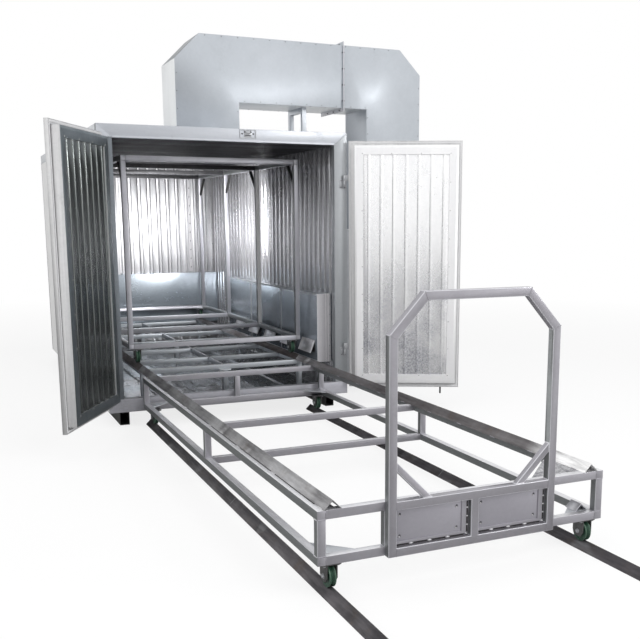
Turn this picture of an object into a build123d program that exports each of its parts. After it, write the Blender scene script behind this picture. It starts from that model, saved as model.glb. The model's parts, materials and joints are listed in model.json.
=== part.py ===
from build123d import *
import os
from math import cos, sin, radians, sqrt

# Millimetres, +Z up. +X is to the right and +Y into the oven. X = 0 is the middle of the track,
# Y = 0 the front face of the doorway frame and Z = 0 the ground.

# Oven body
body_w = 2000.0            # outer width
body_bottom = 122.0        # underside of the sill and the floor
body_top = 2286.0
body_depth = 3870.0        # front face to back face
frame_depth = 60.0         # doorway frame, front to back
jamb_w = 112.0             # width of a jamb's face
header_h = 98.0
sill_h = 103.0
wall_t = 58.0              # sandwich wall without its ribs
floor_t = 41.0             # floor panel without its ribs
roof_t = 86.0
ceiling_t = 4.0            # ceiling sheet without its ribs
rib_pitch = 110.0          # ribbed sheet inside the chamber
rib_base = 46.0
rib_top = 26.0
rib_h = 12.0
rib_margin = 30.0          # plain strip at each end of a ribbed sheet
floor_rib_pitch = 275.0    # ribs of the floor, which run along the track
keeper_x = 155.0           # latch keeper on the header
keeper_w = 60.0
keeper_h = 50.0
keeper_down = 12.0         # below the top of the body
keeper_t = 4.0
skid_w = 75.0              # box section the body stands on
skid_t = 5.0
skid_side = 125.0          # middle of a skid from the side of the body
skid_in = 100.0            # ends of a skid from the front and the back of the body

# Low air ducts inside the chamber
duct_out = 126.0           # depth of the duct on the right wall
duct_top = 965.0
duct_bottom = 374.0
duct_front = 195.0
duct_end = 2800.0
duct_t = 4.0
back_duct_out = 90.0
flap_w = 285.0
flap_h = 116.0
flap_t = 3.0
flap_tilt = 22.0
flap_down = 408.0          # hinge line of the flaps below the top of the duct
flap_pitch = 480.0
flap_count = 5
flap_first = 192.0         # middle of the first flap from the duct's front end

# Doors
board_t = 28.0             # outer board of a leaf, which laps over the doorway frame
plug_t = 62.0              # plug behind the board, which fills the doorway
plug_clear = 8.0           # plug inside the doorway
plug_free = 32.0           # plug's edge from the leaf's free edge
leaf_gap = 10.0            # closed board in front of the doorway frame
leaf_overlap = 42.0        # lap over a jamb
sill_lap = 36.0
header_lap = 31.0
meeting_gap = 6.0          # between the two closed leaves
leaf_border = 74.0         # mitred border on the plug's face
border_t = 8.0
leaf_rib_pitch = 102.0
leaf_rib_base = 26.0
leaf_rib_top = 14.0
leaf_rib_h = 5.0
lining_t = 2.0
lining_margin = 12.0
seal_w = 14.0
seal_t = 4.0
seal_in = 8.0              # from the leaf's edge
pin_gap = 36.0             # hinge pins outside the leaf's edge
pin_front = 25.0           # hinge pins in front of the doorway frame
pin_r = 6.0
running_fit = 0.08
knuckle_r = 11.0
knuckle_h = 46.0
knuckle_gap = 1.0
hinge_heights = (465.0, 1855.0)
hinge_plate_t = 4.0
hinge_plate_over = 12.0    # hinge plate past its knuckle, above and below
hinge_plate_in = 3.0       # leaf's hinge plate narrower than the board, each side
hinge_web = 12.0
left_open = 119.5          # how far each leaf stands open
right_open = 153.0
bolt_r = 7.0
bolt_in = 150.0            # drop bolt from the leaf's free edge
bolt_drop = 62.0
bolt_len = 420.0
bolt_out = 14.0            # bolt's axis off the leaf's outer face
bolt_lever = 60.0
guide_h = 30.0
guide_w = 40.0
guide_low = 20.0           # lower guide above the leaf's bottom edge
guide_pitch = 230.0

# Wheels and casters, the same on the cart and on the trolley
wheel_r = 51.0
wheel_w = 32.0
groove_depth = 10.0
rail_fit = 0.7             # root of a groove above the ridge of its rail
axle_r = 6.0
fork_gap = 5.0
fork_t = 5.0
fork_plate_t = 8.0
fork_plate_w = 84.0
cheek_w = 78.0             # cheek of a fork at its plate
cheek_foot = 40.0          # and under the axle
cheek_below = 24.0         # cheek below the axle

# Angle rails, ridge up
rail_leg = 60.0
rail_t = 4.0
rail_in = 72.0             # ridge of a rail inside the frame of the cart
floor_rail_end = 60.0      # back end of the floor rails, behind the front face
floor_rail_over = 250.0    # floor rails past the cart when it is rolled out
rail_gap = 8.0             # between the cart's rails, which reach into the oven, and the oven's

tube = 40.0                # square tube of the cart, the trolley and the track

# Transfer cart
cart_w = 1500.0
cart_front = -3601.0
cart_rear = -36.0
cart_bottom = 150.0
cart_top = 394.0
cart_mid = -1815.0
cart_travel = 3700.0
cart_caster_front = 50.0   # middle of a caster from each end of the cart
cart_caster_rear = 60.0
gusset_leg = 150.0
gusset_t = 6.0
corner_plate_leg = 350.0   # plate on the front right corner
corner_plate_t = 4.0
stop_leg = 50.0            # short angle over the front right caster
stop_len = 80.0
stop_side = 18.0           # its ridge inside the ridge of the rail

# Handle portal on the cart's front end
portal_w = 870.0
portal_bend = 1121.0
portal_top = 1300.0
portal_chamfer = 165.0
portal_rail_top = 400.0
portal_brace = 175.0
portal_brace_w = 42.0
portal_brace_in = 5.0      # brace narrower than the tube, each side
plate_t = 3.0
plate_in = 12.0            # plate's back face in front of the cart

# Trolley
trolley_front = 460.0
trolley_end_gap = 70.0     # behind the trolley, to the duct on the back wall
trolley_bottom = 545.0
trolley_top = 2095.0
trolley_bays = 3
trolley_caster_in = 44.0   # middle of a caster from the trolley's end
brace_run = 160.0
brace_t = 28.0
brace_in = 8.0             # brace narrower than a post, each side
second_bar = 110.0         # second top bar behind the front one
foot_plate_leg = 130.0     # corner plates that the trolley's casters are bolted to
foot_plate_t = 5.0

# Track inside the oven
track_end_gap = 20.0       # behind the track, to the duct on the back wall
track_front = 300.0        # front end of the rails, the side tubes and the front cross tube
track_row = 770.0          # first of the cross tubes behind it
track_pitch = 600.0
centre_bar_w = 12.0
tee_w = 95.0               # bracket on the middle front post
tee_t = 12.0
tee_down = 34.0            # below the top of the track

# Roof duct
arch_front = 600.0
arch_back = 1063.0
arch_left = -257.0
arch_w = 2257.0
arch_leg = 537.0
arch_h = 529.0             # soffit to top
arch_clear = 272.0         # soffit above the roof
arch_chamfer = 208.0
arch_t = 4.0
seam_x = 1230.0
seam_out = 28.0
seam_t = 4.0
stand_x = 905.0
stand_front = 740.0
stand_rear = 1010.0

# Heater housing beside the right wall
heater_top = 1500.0
heater_back = 1700.0
heater_skids = (1080.0, 1560.0)
heater_skid_in = 20.0
duct_socket = 40.0         # depth of the duct's mouth in the housing

half_w = body_w / 2
skid_x = half_w - skid_side
inner_face = half_w - wall_t
inner_wall = inner_face - rib_h
inner_back = body_depth - wall_t - rib_h
floor_face = body_bottom + floor_t
floor_top = floor_face + rib_h
ceiling = body_top - roof_t
opening_x = half_w - jamb_w
opening_top = body_top - header_h
sill_top = body_bottom + sill_h
leaf_edge = opening_x + leaf_overlap
pin_x = leaf_edge + pin_gap
leaf_bottom = sill_top - sill_lap
leaf_top = opening_top + header_lap
leaf_in = -leaf_gap
leaf_out = leaf_in - board_t
plug_face = leaf_in + plug_t
duct_x = inner_wall - duct_out
back_duct_y = inner_back - back_duct_out
trolley_rear = back_duct_y - trolley_end_gap
track_rear = back_duct_y - track_end_gap
arch_right = arch_left + arch_w
arch_soffit = body_top + arch_clear
arch_top = arch_soffit + arch_h
half_cart = cart_w / 2
half_gauge = half_cart - rail_in
stop_x = half_gauge - stop_side
rail_rise = rail_leg / sqrt(2)
root_r = wheel_r - groove_depth
axle_over_rail = rail_rise + rail_fit + root_r
cart_axle = axle_over_rail
trolley_axle = cart_top + axle_over_rail


def block(x0, x1, y0, y1, z0, z1):
    """Box between two corners."""
    return Pos((x0 + x1) / 2, (y0 + y1) / 2, (z0 + z1) / 2) * Box(abs(x1 - x0), abs(y1 - y0), abs(z1 - z0))


def joined(*solids):
    """One solid from pieces that touch."""
    first, *rest = solids
    return first.fuse(*rest).clean() if rest else first


def along_x(points, x0, x1):
    """Profile of (Y, Z) points run from x0 to x1."""
    face = make_face(Polyline(*[(x0, y, z) for y, z in points], close=True))
    return extrude(face, amount=x1 - x0, dir=(1, 0, 0))


def along_y(points, y0, y1):
    """Profile of (X, Z) points run from y0 to y1."""
    face = make_face(Polyline(*[(x, y0, z) for x, z in points], close=True))
    return extrude(face, amount=y1 - y0, dir=(0, 1, 0))


def along_z(points, z0, z1):
    """Profile of (X, Y) points run from z0 to z1."""
    face = make_face(Polyline(*[(x, y, z0) for x, y in points], close=True))
    return extrude(face, amount=z1 - z0, dir=(0, 0, 1))


def ribbed(start, end, back, face, pitch, margin=rib_margin, rib=(rib_base, rib_top, rib_h)):
    """Outline of a sheet from start to end: flat at back, trapezoidal ribs standing on face."""
    base, top, height = rib
    out = height if face > back else -height
    count = int((end - start - 2 * margin - base) // pitch)
    first = (start + end - count * pitch) / 2
    points = [(start, back), (start, face)]
    for i in range(count + 1):
        middle = first + i * pitch
        points += [(middle - base / 2, face), (middle - top / 2, face + out),
                   (middle + top / 2, face + out), (middle + base / 2, face)]
    return points + [(end, face), (end, back)]


def mirrored(solid):
    """The same piece on the other side of the centreline."""
    return mirror(solid, about=Plane.YZ)


def both_sides(solid):
    """The piece and its mirror image."""
    return [solid, mirrored(solid)]


def angle_rail(x, y0, y1, foot):
    """Angle lying with its ridge up on the height foot."""
    inside = rail_rise - rail_t * sqrt(2)
    return along_y([(x - rail_rise, foot), (x, foot + rail_rise), (x + rail_rise, foot),
                    (x + inside, foot), (x, foot + inside), (x - inside, foot)], y0, y1)


def wheel(x, y, z):
    """Grooved wheel that turns about X."""
    half = wheel_w / 2
    bore = axle_r + running_fit
    profile = [(-half, bore), (half, bore), (half, wheel_r), (groove_depth, wheel_r), (0, root_r),
               (-groove_depth, wheel_r), (-half, wheel_r)]
    face = make_face(Polyline(*[(px, pz, 0) for px, pz in profile], close=True))
    return Pos(x, y, z) * revolve(face, axis=Axis.X)


def fork(x, y, top, axle_z):
    """Caster fork hung from the height top, with its axle."""
    inside = wheel_w / 2 + fork_gap
    half = fork_plate_w / 2
    under = top - fork_plate_t
    foot = axle_z - cheek_below
    pieces = [block(x - half, x + half, y - half, y + half, under, top)]
    for side in (-1, 1):
        near, far = sorted((x + side * inside, x + side * (inside + fork_t)))
        pieces.append(along_x([(y - cheek_w / 2, under), (y + cheek_w / 2, under), (y + cheek_w / 2, axle_z),
                               (y + cheek_foot / 2, foot), (y - cheek_foot / 2, foot), (y - cheek_w / 2, axle_z)],
                              near, far))
    axle = Pos(x, y, axle_z) * Rot(0, 90, 0) * Cylinder(axle_r, 2 * (inside + fork_t))
    return joined(*pieces, axle)


def box_section(x0, x1, y0, y1, z0, z1, wall):
    """Open-ended box section along Y."""
    return block(x0, x1, y0, y1, z0, z1) - block(x0 + wall, x1 - wall, y0 - 1, y1 + 1, z0 + wall, z1 - wall)


def opened(solid, degrees, side):
    """A closed leaf's piece turned to where the leaf stands open."""
    pivot = Pos(side * pin_x, -pin_front, 0)
    return pivot * Rot(0, 0, side * degrees) * pivot.inverse() * solid


parts = {}

# Body
wall_outline = ribbed(frame_depth, body_depth - wall_t, half_w, inner_face, rib_pitch)
right_wall = along_z([(x, y) for y, x in wall_outline], body_bottom, ceiling)
parts["right_wall"] = [right_wall]
parts["left_wall"] = [mirrored(right_wall)]
back_outline = ribbed(-inner_wall, inner_wall, body_depth, body_depth - wall_t, rib_pitch)
back_outline[0] = (-half_w, body_depth)
back_outline[1] = (-half_w, body_depth - wall_t)
back_outline[-2] = (half_w, body_depth - wall_t)
back_outline[-1] = (half_w, body_depth)
parts["back_wall"] = [along_z(back_outline, body_bottom, ceiling)]
parts["floor_panel"] = [along_y(ribbed(-inner_wall, inner_wall, body_bottom, floor_face, floor_rib_pitch),
                                frame_depth, inner_back)]
parts["roof_panel"] = [block(-half_w, half_w, frame_depth, body_depth, ceiling, body_top)]
parts["ceiling_sheet"] = [along_x(ribbed(frame_depth, inner_back, ceiling, ceiling - ceiling_t, rib_pitch),
                                  -inner_wall, inner_wall)]
parts["front_header"] = [along_y([(-half_w, body_top), (half_w, body_top), (opening_x, opening_top),
                                  (-opening_x, opening_top)], 0, frame_depth)]
jamb = along_y([(half_w, sill_top), (half_w, body_top), (opening_x, opening_top), (opening_x, sill_top)],
               0, frame_depth)
parts["front_jambs"] = both_sides(jamb)
parts["front_sill"] = [block(-half_w, half_w, 0, frame_depth, body_bottom, sill_top)]
skids = both_sides(box_section(skid_x - skid_w / 2, skid_x + skid_w / 2, skid_in,
                               body_depth - skid_in, 0, body_bottom, skid_t))
skids += [block(half_w + heater_skid_in, arch_right - heater_skid_in, y, y + skid_w, 0, body_bottom)
          for y in heater_skids]
parts["base_skids"] = skids
keeper_top = body_top - keeper_down
parts["latch_keeper"] = [block(keeper_x - keeper_w / 2, keeper_x + keeper_w / 2, -keeper_t, 0,
                               keeper_top - keeper_h, keeper_top)]

# Low ducts
duct = block(duct_x, inner_wall, duct_front, duct_end, duct_bottom, duct_top)
duct -= block(duct_x + duct_t, inner_wall - duct_t, duct_front + duct_t, duct_end - duct_t,
              duct_bottom - 1, duct_top - duct_t)
parts["wall_duct_right"] = [duct]
back_duct = block(-inner_wall, inner_wall, back_duct_y, inner_back, duct_bottom, duct_top)
back_duct -= block(-inner_wall + duct_t, inner_wall - duct_t, back_duct_y + duct_t, inner_back - duct_t,
                   duct_bottom - 1, duct_top - duct_t)
parts["wall_duct_back"] = [back_duct]
flaps = []
for i in range(flap_count):
    y = duct_front + flap_first + i * flap_pitch
    flap = Pos(-flap_t / 2, 0, -flap_h / 2) * Box(flap_t, flap_w, flap_h)
    flaps.append(Pos(duct_x, y, duct_top - flap_down) * Rot(0, flap_tilt, 0) * flap)
parts["duct_flaps"] = flaps

# Track inside the oven
beam_under = cart_top - tube
half_tube = tube / 2
track_side = half_gauge - half_tube
track_back = track_rear - tube
parts["track_rails"] = [angle_rail(s * half_gauge, track_front, track_rear, cart_top) for s in (-1, 1)]
parts["track_long_beams"] = [block(x - half_tube, x + half_tube, track_front, track_rear, beam_under, cart_top)
                             for x in (-half_gauge, half_gauge)]
parts["track_centre_bar"] = [block(-centre_bar_w / 2, centre_bar_w / 2, track_front + tube, track_back,
                                   beam_under, cart_top)]
rows = int((track_back - tube - track_row) // track_pitch) + 1
cross = [block(-track_side, track_side, y, y + tube, beam_under, cart_top) for y in (track_front, track_back)]
for i in range(rows):
    y = track_row + i * track_pitch
    cross += both_sides(block(centre_bar_w / 2, track_side, y, y + tube, beam_under, cart_top))
parts["track_cross_beams"] = cross
track_post_y = (track_front, track_row + (rows // 2) * track_pitch, track_back)
posts = [block(x - half_tube, x + half_tube, y, y + tube, floor_top, beam_under)
         for x in (-half_gauge, half_gauge) for y in track_post_y]
posts += [block(-half_tube, half_tube, y, y + tube, floor_top, beam_under) for y in track_post_y[1:]]
tee_top = cart_top - tee_down
posts.append(joined(block(-half_tube, half_tube, track_front - tube, track_front, floor_top, tee_top - tee_t),
                    block(-tee_w / 2, tee_w / 2, track_front - tube, track_front, tee_top - tee_t, tee_top)))
parts["track_posts"] = posts

# Roof duct
leg_in_left = arch_left + arch_leg
leg_in_right = arch_right - arch_leg
outer = [(arch_left, body_top), (arch_left, arch_top - arch_chamfer), (arch_left + arch_chamfer, arch_top),
         (arch_right - arch_chamfer, arch_top), (arch_right, arch_top - arch_chamfer), (arch_right, heater_top),
         (leg_in_right, heater_top), (leg_in_right, arch_soffit), (leg_in_left, arch_soffit),
         (leg_in_left, body_top)]
k = arch_t * (sqrt(2) - 1)
inner = [(arch_left + arch_t, body_top - 1), (arch_left + arch_t, arch_top - arch_chamfer - k),
         (arch_left + arch_chamfer + k, arch_top - arch_t), (arch_right - arch_chamfer - k, arch_top - arch_t),
         (arch_right - arch_t, arch_top - arch_chamfer - k), (arch_right - arch_t, heater_top - 1),
         (leg_in_right + arch_t, heater_top - 1), (leg_in_right + arch_t, arch_soffit + arch_t),
         (leg_in_left - arch_t, arch_soffit + arch_t), (leg_in_left - arch_t, body_top - 1)]
arch = along_y(outer, arch_front, arch_back) - along_y(inner, arch_front + arch_t, arch_back - arch_t)
cut = block(seam_x, arch_right + 100, arch_front - 100, arch_back + 100, 0, arch_top + 100)
seam_outer = block(seam_x - seam_t, seam_x, arch_front - seam_out, arch_back + seam_out,
                   arch_soffit - seam_out, arch_top + seam_out)
seam_inner = block(seam_x - seam_t - 1, seam_x + 1, arch_front + arch_t, arch_back - arch_t,
                   arch_soffit + arch_t, arch_top - arch_t)
seam = seam_outer - seam_inner
parts["roof_duct_left"] = [joined(arch - cut, seam)]
parts["roof_duct_right"] = [joined(arch & cut, Pos(seam_t, 0, 0) * seam)]
stand_soffit = arch_soffit
stand = [block(stand_x - tube / 2, stand_x + tube / 2, stand_front - tube, stand_rear + tube,
               stand_soffit - tube, stand_soffit)]
for y in (stand_front - tube / 2, stand_rear + tube / 2):
    stand.append(block(stand_x - tube / 2, stand_x + tube / 2, y - tube / 2, y + tube / 2,
                       body_top, stand_soffit - tube))
parts["roof_duct_stand"] = [joined(*stand)]
heater = block(half_w, arch_right, arch_front, heater_back, body_bottom, heater_top)
heater_hole = block(leg_in_right + arch_t, arch_right - arch_t, arch_front + arch_t, arch_back - arch_t,
                    heater_top - duct_socket, heater_top + 1)
parts["heater_housing"] = [heater - heater_hole]

# Floor rails
floor_rail_front = cart_front - cart_travel - floor_rail_over
parts["floor_rails"] = [angle_rail(s * half_gauge, floor_rail_front, floor_rail_end, 0) for s in (-1, 1)]

# Doorway hinges, fixed halves
fixed_hinges = []
for z in hinge_heights:
    plate = block(leaf_edge + pin_r, 2 * pin_x - leaf_edge - 2 * pin_r, -hinge_plate_t, 0,
                  z - hinge_plate_over, z + knuckle_h + hinge_plate_over)
    web = block(pin_x - hinge_web / 2, pin_x + hinge_web / 2, -pin_front, -hinge_plate_t, z, z + knuckle_h)
    barrel = Pos(pin_x, -pin_front, z + knuckle_h / 2) * Cylinder(knuckle_r, knuckle_h)
    pin = Pos(pin_x, -pin_front, z + knuckle_h) * Cylinder(pin_r, 2 * knuckle_h - pin_r)
    fixed_hinges.append(joined(plate, web, barrel, pin))
parts["jamb_hinges"] = fixed_hinges + [mirrored(h) for h in fixed_hinges]

# Right leaf, drawn closed
free_edge = meeting_gap / 2
border_back = plug_face - border_t
plug_x0, plug_x1 = free_edge + plug_free, opening_x - plug_clear
plug_z0, plug_z1 = sill_top + plug_clear, opening_top - plug_clear
field_x0, field_x1 = plug_x0 + leaf_border, plug_x1 - leaf_border
field_z0, field_z1 = plug_z0 + leaf_border, plug_z1 - leaf_border
board = block(free_edge, leaf_edge, leaf_out, leaf_in, leaf_bottom, leaf_top)
plug = block(plug_x0, plug_x1, leaf_in, plug_face, plug_z0, plug_z1)
leaf_frame = joined(board, plug) - block(field_x0, field_x1, border_back, plug_face + 1, field_z0, field_z1)
sheet = along_z(ribbed(field_x0, field_x1, border_back, border_back + lining_t, leaf_rib_pitch, lining_margin,
                       (leaf_rib_base, leaf_rib_top, leaf_rib_h)), field_z0, field_z1)
s0, s1 = seal_in, seal_in + seal_w
seal = block(free_edge + s0, leaf_edge - s0, leaf_in, leaf_in + seal_t, leaf_bottom + s0, leaf_top - s0)
seal -= block(free_edge + s1, leaf_edge - s1, leaf_in - 1, leaf_in + seal_t + 1, leaf_bottom + s1, leaf_top - s1)
moving_hinges = []
for z in hinge_heights:
    z0 = z + knuckle_h + knuckle_gap
    z1 = z0 + knuckle_h
    plate = block(leaf_edge, leaf_edge + hinge_plate_t, leaf_out + hinge_plate_in, leaf_in - hinge_plate_in,
                  z0 - hinge_plate_over, z1 + hinge_plate_over)
    arm = block(leaf_edge + hinge_plate_t, pin_x, -pin_front - hinge_web / 2, -pin_front + hinge_web / 2, z0, z1)
    barrel = Pos(pin_x, -pin_front, (z0 + z1) / 2) * Cylinder(knuckle_r, knuckle_h)
    hinge = joined(plate, arm, barrel)
    hinge -= Pos(pin_x, -pin_front, (z0 + z1) / 2) * Cylinder(pin_r + running_fit, knuckle_h + 2)
    moving_hinges.append(hinge)
bolt_x = free_edge + bolt_in
bolt_y = leaf_out - bolt_out
guides = []
for i in range(2):
    z = leaf_bottom + guide_low + i * guide_pitch
    guide = block(bolt_x - guide_w / 2, bolt_x + guide_w / 2, bolt_y - bolt_out, leaf_out, z, z + guide_h)
    guide -= Pos(bolt_x, bolt_y, z + guide_h / 2) * Cylinder(bolt_r + running_fit, guide_h + 2)
    guides.append(guide)
bolt_low = leaf_bottom - bolt_drop
bolt = joined(Pos(bolt_x, bolt_y, bolt_low + bolt_len / 2) * Cylinder(bolt_r, bolt_len),
              block(bolt_x - bolt_r, bolt_x + bolt_lever, bolt_y - bolt_r, bolt_y + bolt_r,
                    bolt_low + bolt_len, bolt_low + bolt_len + 2 * bolt_r))
for side, name, degrees in ((1, "right", right_open), (-1, "left", left_open)):
    place = (lambda s: s) if side == 1 else mirrored
    parts["door_leaf_" + name] = [opened(place(leaf_frame), degrees, side)]
    parts["door_lining_" + name] = [opened(place(sheet), degrees, side)]
    parts["door_seal_" + name] = [opened(place(seal), degrees, side)]
    parts["leaf_hinges_" + name] = [opened(place(h), degrees, side) for h in moving_hinges]
parts["bolt_guides"] = [opened(g, right_open, 1) for g in guides]
parts["drop_bolt"] = [opened(bolt, right_open, 1)]

# Cart
post_y = (cart_front, cart_mid - half_tube, cart_rear - tube)
cart_in = half_cart - tube
cart_levels = (cart_bottom, cart_top - tube)
parts["cart_long_beams"] = [block(s * cart_in, s * half_cart, cart_front, cart_rear, z, z + tube)
                            for s in (-1, 1) for z in cart_levels]
posts = [block(s * cart_in, s * half_cart, y, y + tube, cart_bottom + tube, cart_top - tube)
         for s in (-1, 1) for y in post_y]
posts.append(block(-half_tube, half_tube, post_y[2], cart_rear, cart_bottom + tube, cart_top - tube))
posts += both_sides(block(portal_w / 2 - tube, portal_w / 2, cart_front, cart_front + tube,
                          cart_bottom + tube, cart_top - tube))
parts["cart_posts"] = posts
parts["cart_cross_beams"] = [block(-cart_in, cart_in, y, y + tube, z, z + tube) for y in post_y for z in cart_levels]
parts["cart_rail_strips"] = [block(s * track_side, s * cart_in, y0 + tube, y1, cart_top - tube, cart_top)
                             for s in (-1, 1) for y0, y1 in zip(post_y, post_y[1:])]
parts["cart_rails"] = [angle_rail(s * half_gauge, cart_front, track_front - rail_gap, cart_top) for s in (-1, 1)]


def corner_plate(side, y, way, leg, z0, z1):
    """Triangular plate in the corner of a side and an end of the cart."""
    corner = side * cart_in
    return along_z([(corner, y), (corner - side * leg, y), (corner, y + way * leg)], z0, z1)


gusset_z = cart_bottom + tube
gussets = [corner_plate(s, y, way, gusset_leg, gusset_z - gusset_t, gusset_z)
           for s in (-1, 1) for y, way in ((cart_front + tube, 1), (cart_rear - tube, -1))]
top_plate = corner_plate(1, cart_front + tube, 1, corner_plate_leg, cart_top - corner_plate_t, cart_top)
strip = block(track_side, cart_in, cart_front, cart_rear, cart_top - tube, cart_top)
parts["cart_gussets"] = gussets + [top_plate - strip]
stop_rise = stop_leg / sqrt(2)
stop_hollow = stop_rise - rail_t * sqrt(2)
parts["cart_stop_angle"] = [along_y([(stop_x - stop_rise, gusset_z), (stop_x, gusset_z + stop_rise),
                                     (stop_x + stop_rise, gusset_z), (stop_x + stop_hollow, gusset_z),
                                     (stop_x, gusset_z + stop_hollow), (stop_x - stop_hollow, gusset_z)],
                                    cart_front + tube, cart_front + tube + stop_len)]
caster_y = (cart_front + cart_caster_front, cart_rear - cart_caster_rear)
parts["cart_caster_forks"] = [fork(s * half_gauge, y, cart_bottom, cart_axle) for s in (-1, 1) for y in caster_y]
names = ("front", "rear")
for s, side_name in ((-1, "left"), (1, "right")):
    for y, end_name in zip(caster_y, names):
        parts["cart_wheel_%s_%s" % (end_name, side_name)] = [wheel(s * half_gauge, y, cart_axle)]

# Handle portal
half_p = portal_w / 2
p0, p1 = cart_front - tube, cart_front
t = tube
k = t * (sqrt(2) - 1)
chamfer_z = portal_top - portal_bend
outer = [(-half_p, cart_bottom), (-half_p, portal_bend), (-half_p + portal_chamfer, portal_top),
         (half_p - portal_chamfer, portal_top), (half_p, portal_bend), (half_p, cart_bottom)]
inner = [(half_p - t, cart_bottom - 1), (half_p - t, portal_bend - k), (half_p - portal_chamfer - k, portal_top - t),
         (-half_p + portal_chamfer + k, portal_top - t), (-half_p + t, portal_bend - k), (-half_p + t, cart_bottom - 1)]
hoop = along_y(outer, p0, p1) - along_y(inner, p0 - 1, p1 + 1)
rails = [block(-half_p + t, half_p - t, p0, p1, cart_bottom, cart_bottom + t),
         block(-half_p + t, half_p - t, p0, p1, portal_rail_top - t, portal_rail_top),
         block(-t / 2, t / 2, p0, p1, cart_bottom + t, portal_rail_top - t)]
plate_z0, plate_z1 = cart_bottom + t, portal_rail_top - t
parts["handle_plates"] = [block(x0, x1, p1 - plate_t - plate_in, p1 - plate_in, plate_z0, plate_z1)
                          for x0, x1 in ((-half_p + t, -t / 2), (t / 2, half_p - t))]
braces = []
for s in (-1, 1):
    x = s * (half_p - t)
    z = portal_rail_top
    short = portal_brace - portal_brace_w
    braces.append(along_y([(x, z + portal_brace), (x, z + short), (x - s * short, z), (x - s * portal_brace, z)],
                          p0 + portal_brace_in, p1 - portal_brace_in))
parts["handle_portal"] = [joined(hoop, *rails, *braces)]

# Trolley
bay = (trolley_rear - trolley_front - tube) / trolley_bays
post_y = [trolley_front + i * bay for i in range(trolley_bays + 1)]
post_top = trolley_top - tube
levels = (trolley_bottom, post_top)
parts["trolley_long_beams"] = [block(s * (half_cart - tube), s * half_cart, trolley_front, trolley_rear, z, z + tube)
                               for s in (-1, 1) for z in levels]
bars = [block(-cart_in, cart_in, y, y + tube, z, z + tube) for y in post_y for z in levels]
for i, y, way in ((0, post_y[0] + tube, 1), (-2, post_y[-1], -1)):
    plates = [corner_plate(s, y, way, foot_plate_leg, trolley_bottom, trolley_bottom + foot_plate_t) for s in (-1, 1)]
    bars[i] = joined(bars[i], *plates)
bars.append(block(-half_cart + tube, half_cart - tube, trolley_front + second_bar,
                  trolley_front + second_bar + tube, post_top, trolley_top))
parts["trolley_cross_bars"] = bars
parts["trolley_posts"] = [block(s * (half_cart - tube), s * half_cart, y, y + tube, trolley_bottom + tube, post_top)
                          for s in (-1, 1) for y in post_y]
braces = []
for s in (-1, 1):
    near, far = sorted((s * (cart_in + brace_in), s * (half_cart - brace_in)))
    for i, y in enumerate(post_y):
        way = 1 if i < 2 else -1
        face = y + tube if way == 1 else y
        long_run = brace_run + brace_t
        braces.append(along_x([(face, post_top - brace_run), (face, post_top - long_run),
                               (face + way * long_run, post_top), (face + way * brace_run, post_top)], near, far))
parts["trolley_braces"] = braces
caster_y = (trolley_front + trolley_caster_in, trolley_rear - trolley_caster_in)
parts["trolley_caster_forks"] = [fork(s * half_gauge, y, trolley_bottom, trolley_axle)
                                 for s in (-1, 1) for y in caster_y]
for s, side_name in ((-1, "left"), (1, "right")):
    for y, end_name in zip(caster_y, names):
        parts["trolley_wheel_%s_%s" % (end_name, side_name)] = [wheel(s * half_gauge, y, trolley_axle)]

os.makedirs("parts", exist_ok=True)
for name, solids in parts.items():
    solids = [piece for solid in solids for piece in solid.solids()]
    shape = solids[0] if len(solids) == 1 else Compound(children=solids)
    export_step(shape, "parts/%s.step" % name)
    print(name, len(solids), round(sum(p.volume for p in solids) / 1e6, 3))
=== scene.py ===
import json
import logging
import math
from abc import ABC, abstractmethod
from dataclasses import dataclass
from enum import Enum
from typing import Callable

import bmesh
import bpy
import numpy as np
from mathutils import Matrix


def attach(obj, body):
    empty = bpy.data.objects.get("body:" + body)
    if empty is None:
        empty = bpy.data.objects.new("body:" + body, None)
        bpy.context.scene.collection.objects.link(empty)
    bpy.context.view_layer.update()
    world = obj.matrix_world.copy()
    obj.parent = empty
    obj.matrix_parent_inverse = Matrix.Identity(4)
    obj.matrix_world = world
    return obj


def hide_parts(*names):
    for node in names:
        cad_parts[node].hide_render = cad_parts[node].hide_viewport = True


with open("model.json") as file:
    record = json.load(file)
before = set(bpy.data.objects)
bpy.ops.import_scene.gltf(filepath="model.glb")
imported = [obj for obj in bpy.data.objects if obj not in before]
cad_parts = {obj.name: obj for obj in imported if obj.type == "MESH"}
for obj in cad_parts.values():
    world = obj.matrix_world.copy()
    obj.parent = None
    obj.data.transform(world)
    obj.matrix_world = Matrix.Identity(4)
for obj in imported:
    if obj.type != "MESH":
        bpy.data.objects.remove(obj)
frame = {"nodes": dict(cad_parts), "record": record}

LOG = logging.getLogger("oven")
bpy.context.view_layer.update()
BODY_OF = {node: body for body, nodes in frame["record"]["behaviour"]["bodies"].items() for node in nodes}
Colour = tuple[float, float, float]
Point = tuple[float, float, float]
Span = tuple[float, float]
Line = tuple[Point, Point]
Picker = Callable[[np.ndarray, np.ndarray], np.ndarray]
TO_FRONT, TO_BACK, DOWN = (0, -1, 0), (0, 1, 0), (0, 0, -1)
SIDES = (-1, 1)


class Axis(Enum):
    """Axis of the shared frame that a profile is carried along or turned about."""

    X = 0
    Y = 1
    Z = 2

    @property
    def others(self) -> list[int]:
        """Numbers of the two other axes."""
        return [k for k in range(3) if k != self.value]


class Side(Enum):
    """Side of the centreline, with the sign of its X."""

    LEFT = -1
    RIGHT = 1

    @property
    def word(self) -> str:
        """The side's name in a node's name."""
        return self.name.lower()


# ---- shader graphs


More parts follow.
